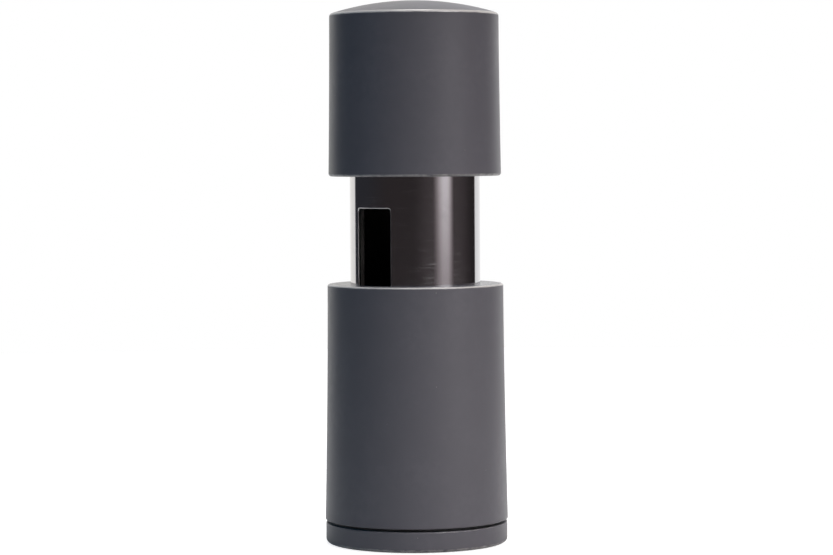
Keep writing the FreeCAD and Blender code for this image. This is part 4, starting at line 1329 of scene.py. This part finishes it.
def add_surroundings(stage):
    """World that is white to the camera, and to reflections a dark room with a white wall and a softbox.

    The wall fills what lies behind the mill, and its edges are softer higher up. The softbox stands at the
    right front. It brightens from its left edge to its right one, and from below the horizon upwards.
    """
    world = bpy.data.worlds.new("surroundings")
    bpy.context.scene.world = world
    world.use_nodes = True
    tree = world.node_tree
    tree.nodes.clear()
    x, y, z = axes(Field(add_node(tree, "ShaderNodeTexCoord").outputs["Generated"]))
    bearing, height = bearing_of(x, y), calculate("ARCSINE", z)
    softness = ramp(height, WALL_SOFTENS, (0.0, WALL_SOFTNESS))
    wall = ramp(calculate("ABSOLUTE", bearing), (WALL_EDGE[0] - softness, WALL_EDGE[1]))
    across = ramp(bearing, SOFTBOX_LEFT) * ramp(bearing, SOFTBOX_RIGHT, (1.0, 0.0))
    lift = ramp(height, SOFTBOX_FOOT) + ramp(height, SOFTBOX_BRIGHTENS, (0.0, SOFTBOX_GAIN))
    softbox = across * (lift * ramp(height, SOFTBOX_TOP, (1.0, 0.0)))
    dark = ramp(bearing, ROOM_BRIGHTENS, (1.0, ROOM_AT_RIGHT)) + ramp(bearing, ROOM_DARKENS, (0.0, ROOM_LOSS))
    mirrored = calculate("MAXIMUM", wall, dark * stage.dark + softbox * stage.strip)
    camera, mirror = light_path(tree)
    strength = mix(camera, mix(mirror, stage.ambient, mirrored), 1.0)
    light_tint = blend(ramp(bearing, LIGHT_CHANGES), *LIGHT_TINTS)
    wall_tint = blend(ramp(bearing, WALL_CHANGES), *WALL_TINTS)
    room_tint = blend(softbox, blend(ramp(bearing, ROOM_CHANGES), *ROOM_TINTS), SOFTBOX_TINT)
    tint = blend(mirror, light_tint, blend(wall, room_tint, wall_tint))
    inputs = {"Color": blend(camera, tint, WHITE), "Strength": strength}
    background = Field(add_node(tree, "ShaderNodeBackground", inputs).outputs[0])
    put(background, tree.nodes.new("ShaderNodeOutputWorld").inputs[0])


def add_lamp(name, power, size, direction, tint):
    """Square soft lamp that looks at the middle of the mill from a bearing and a height."""
    data = bpy.data.lights.new(name, "AREA")
    data.energy = power
    data.size = size
    data.color = tint
    lamp = bpy.data.objects.new(name, data)
    bpy.context.scene.collection.objects.link(lamp)
    bearing, height = direction
    ahead = LAMP_DISTANCE * math.cos(height)
    lamp.location = round_the_axis(ahead, LAMP_DISTANCE * math.sin(height) + LAMP_AIM, bearing)
    lamp.rotation_euler = (math.pi / 2 - height, 0.0, bearing)
    return lamp


def add_camera(stage):
    """Camera in front of the mill, a little above it and looking down."""
    data = bpy.data.cameras.new("camera")
    data.sensor_width = SENSOR
    data.lens = stage.lens
    camera = bpy.data.objects.new("camera", data)
    bpy.context.scene.collection.objects.link(camera)
    height = stage.camera_aim + stage.camera_distance * math.tan(stage.camera_tilt)
    look = Matrix.Rotation(math.pi / 2 - stage.camera_tilt, 3, "X")
    camera.rotation_euler = (look @ Matrix.Rotation(stage.camera_roll, 3, "Z")).to_euler()
    camera.location = (stage.camera_side, -stage.camera_distance, height)
    bpy.context.scene.camera = camera


# ---------------------------------------------------------------- add-on

OPERATORS = [
    MILL_OT_barrel,
    MILL_OT_knob,
    MILL_OT_tubes,
    MILL_OT_base,
    MILL_OT_spring,
    MILL_OT_finishes,
    MILL_OT_stage,
]


class MILL_PT_panel(bpy.types.Panel):
    """Steps of the mill, and its sizes and colours"""

    bl_label = "Nutmeg mill"
    bl_idname = "MILL_PT_panel"
    bl_space_type = "VIEW_3D"
    bl_region_type = "UI"
    bl_category = "Mill"

    def draw(self, context):
        layout = self.layout
        for operator in OPERATORS:
            layout.operator(operator.bl_idname)
        for group in (context.scene.mill_sizes, context.scene.mill_colours, context.scene.mill_stage):
            box = layout.box()
            for name in group.__annotations__:
                box.prop(group, name)


GROUPS = {"mill_sizes": MillSizes, "mill_colours": MillColours, "mill_stage": MillStage}


def register():
    for made in (*GROUPS.values(), *OPERATORS, MILL_PT_panel):
        bpy.utils.register_class(made)
    for name, group in GROUPS.items():
        setattr(bpy.types.Scene, name, PointerProperty(type=group))


def unregister():
    for name in GROUPS:
        delattr(bpy.types.Scene, name)
    for made in reversed((*GROUPS.values(), *OPERATORS, MILL_PT_panel)):
        bpy.utils.unregister_class(made)


def main():
    register()
    bpy.ops.mill.barrel()
    bpy.ops.mill.knob()
    bpy.ops.mill.tubes()
    bpy.ops.mill.base()
    bpy.ops.mill.spring()
    bpy.ops.mill.finishes()
    bpy.ops.mill.stage()


if __name__ == "__main__":
    main()
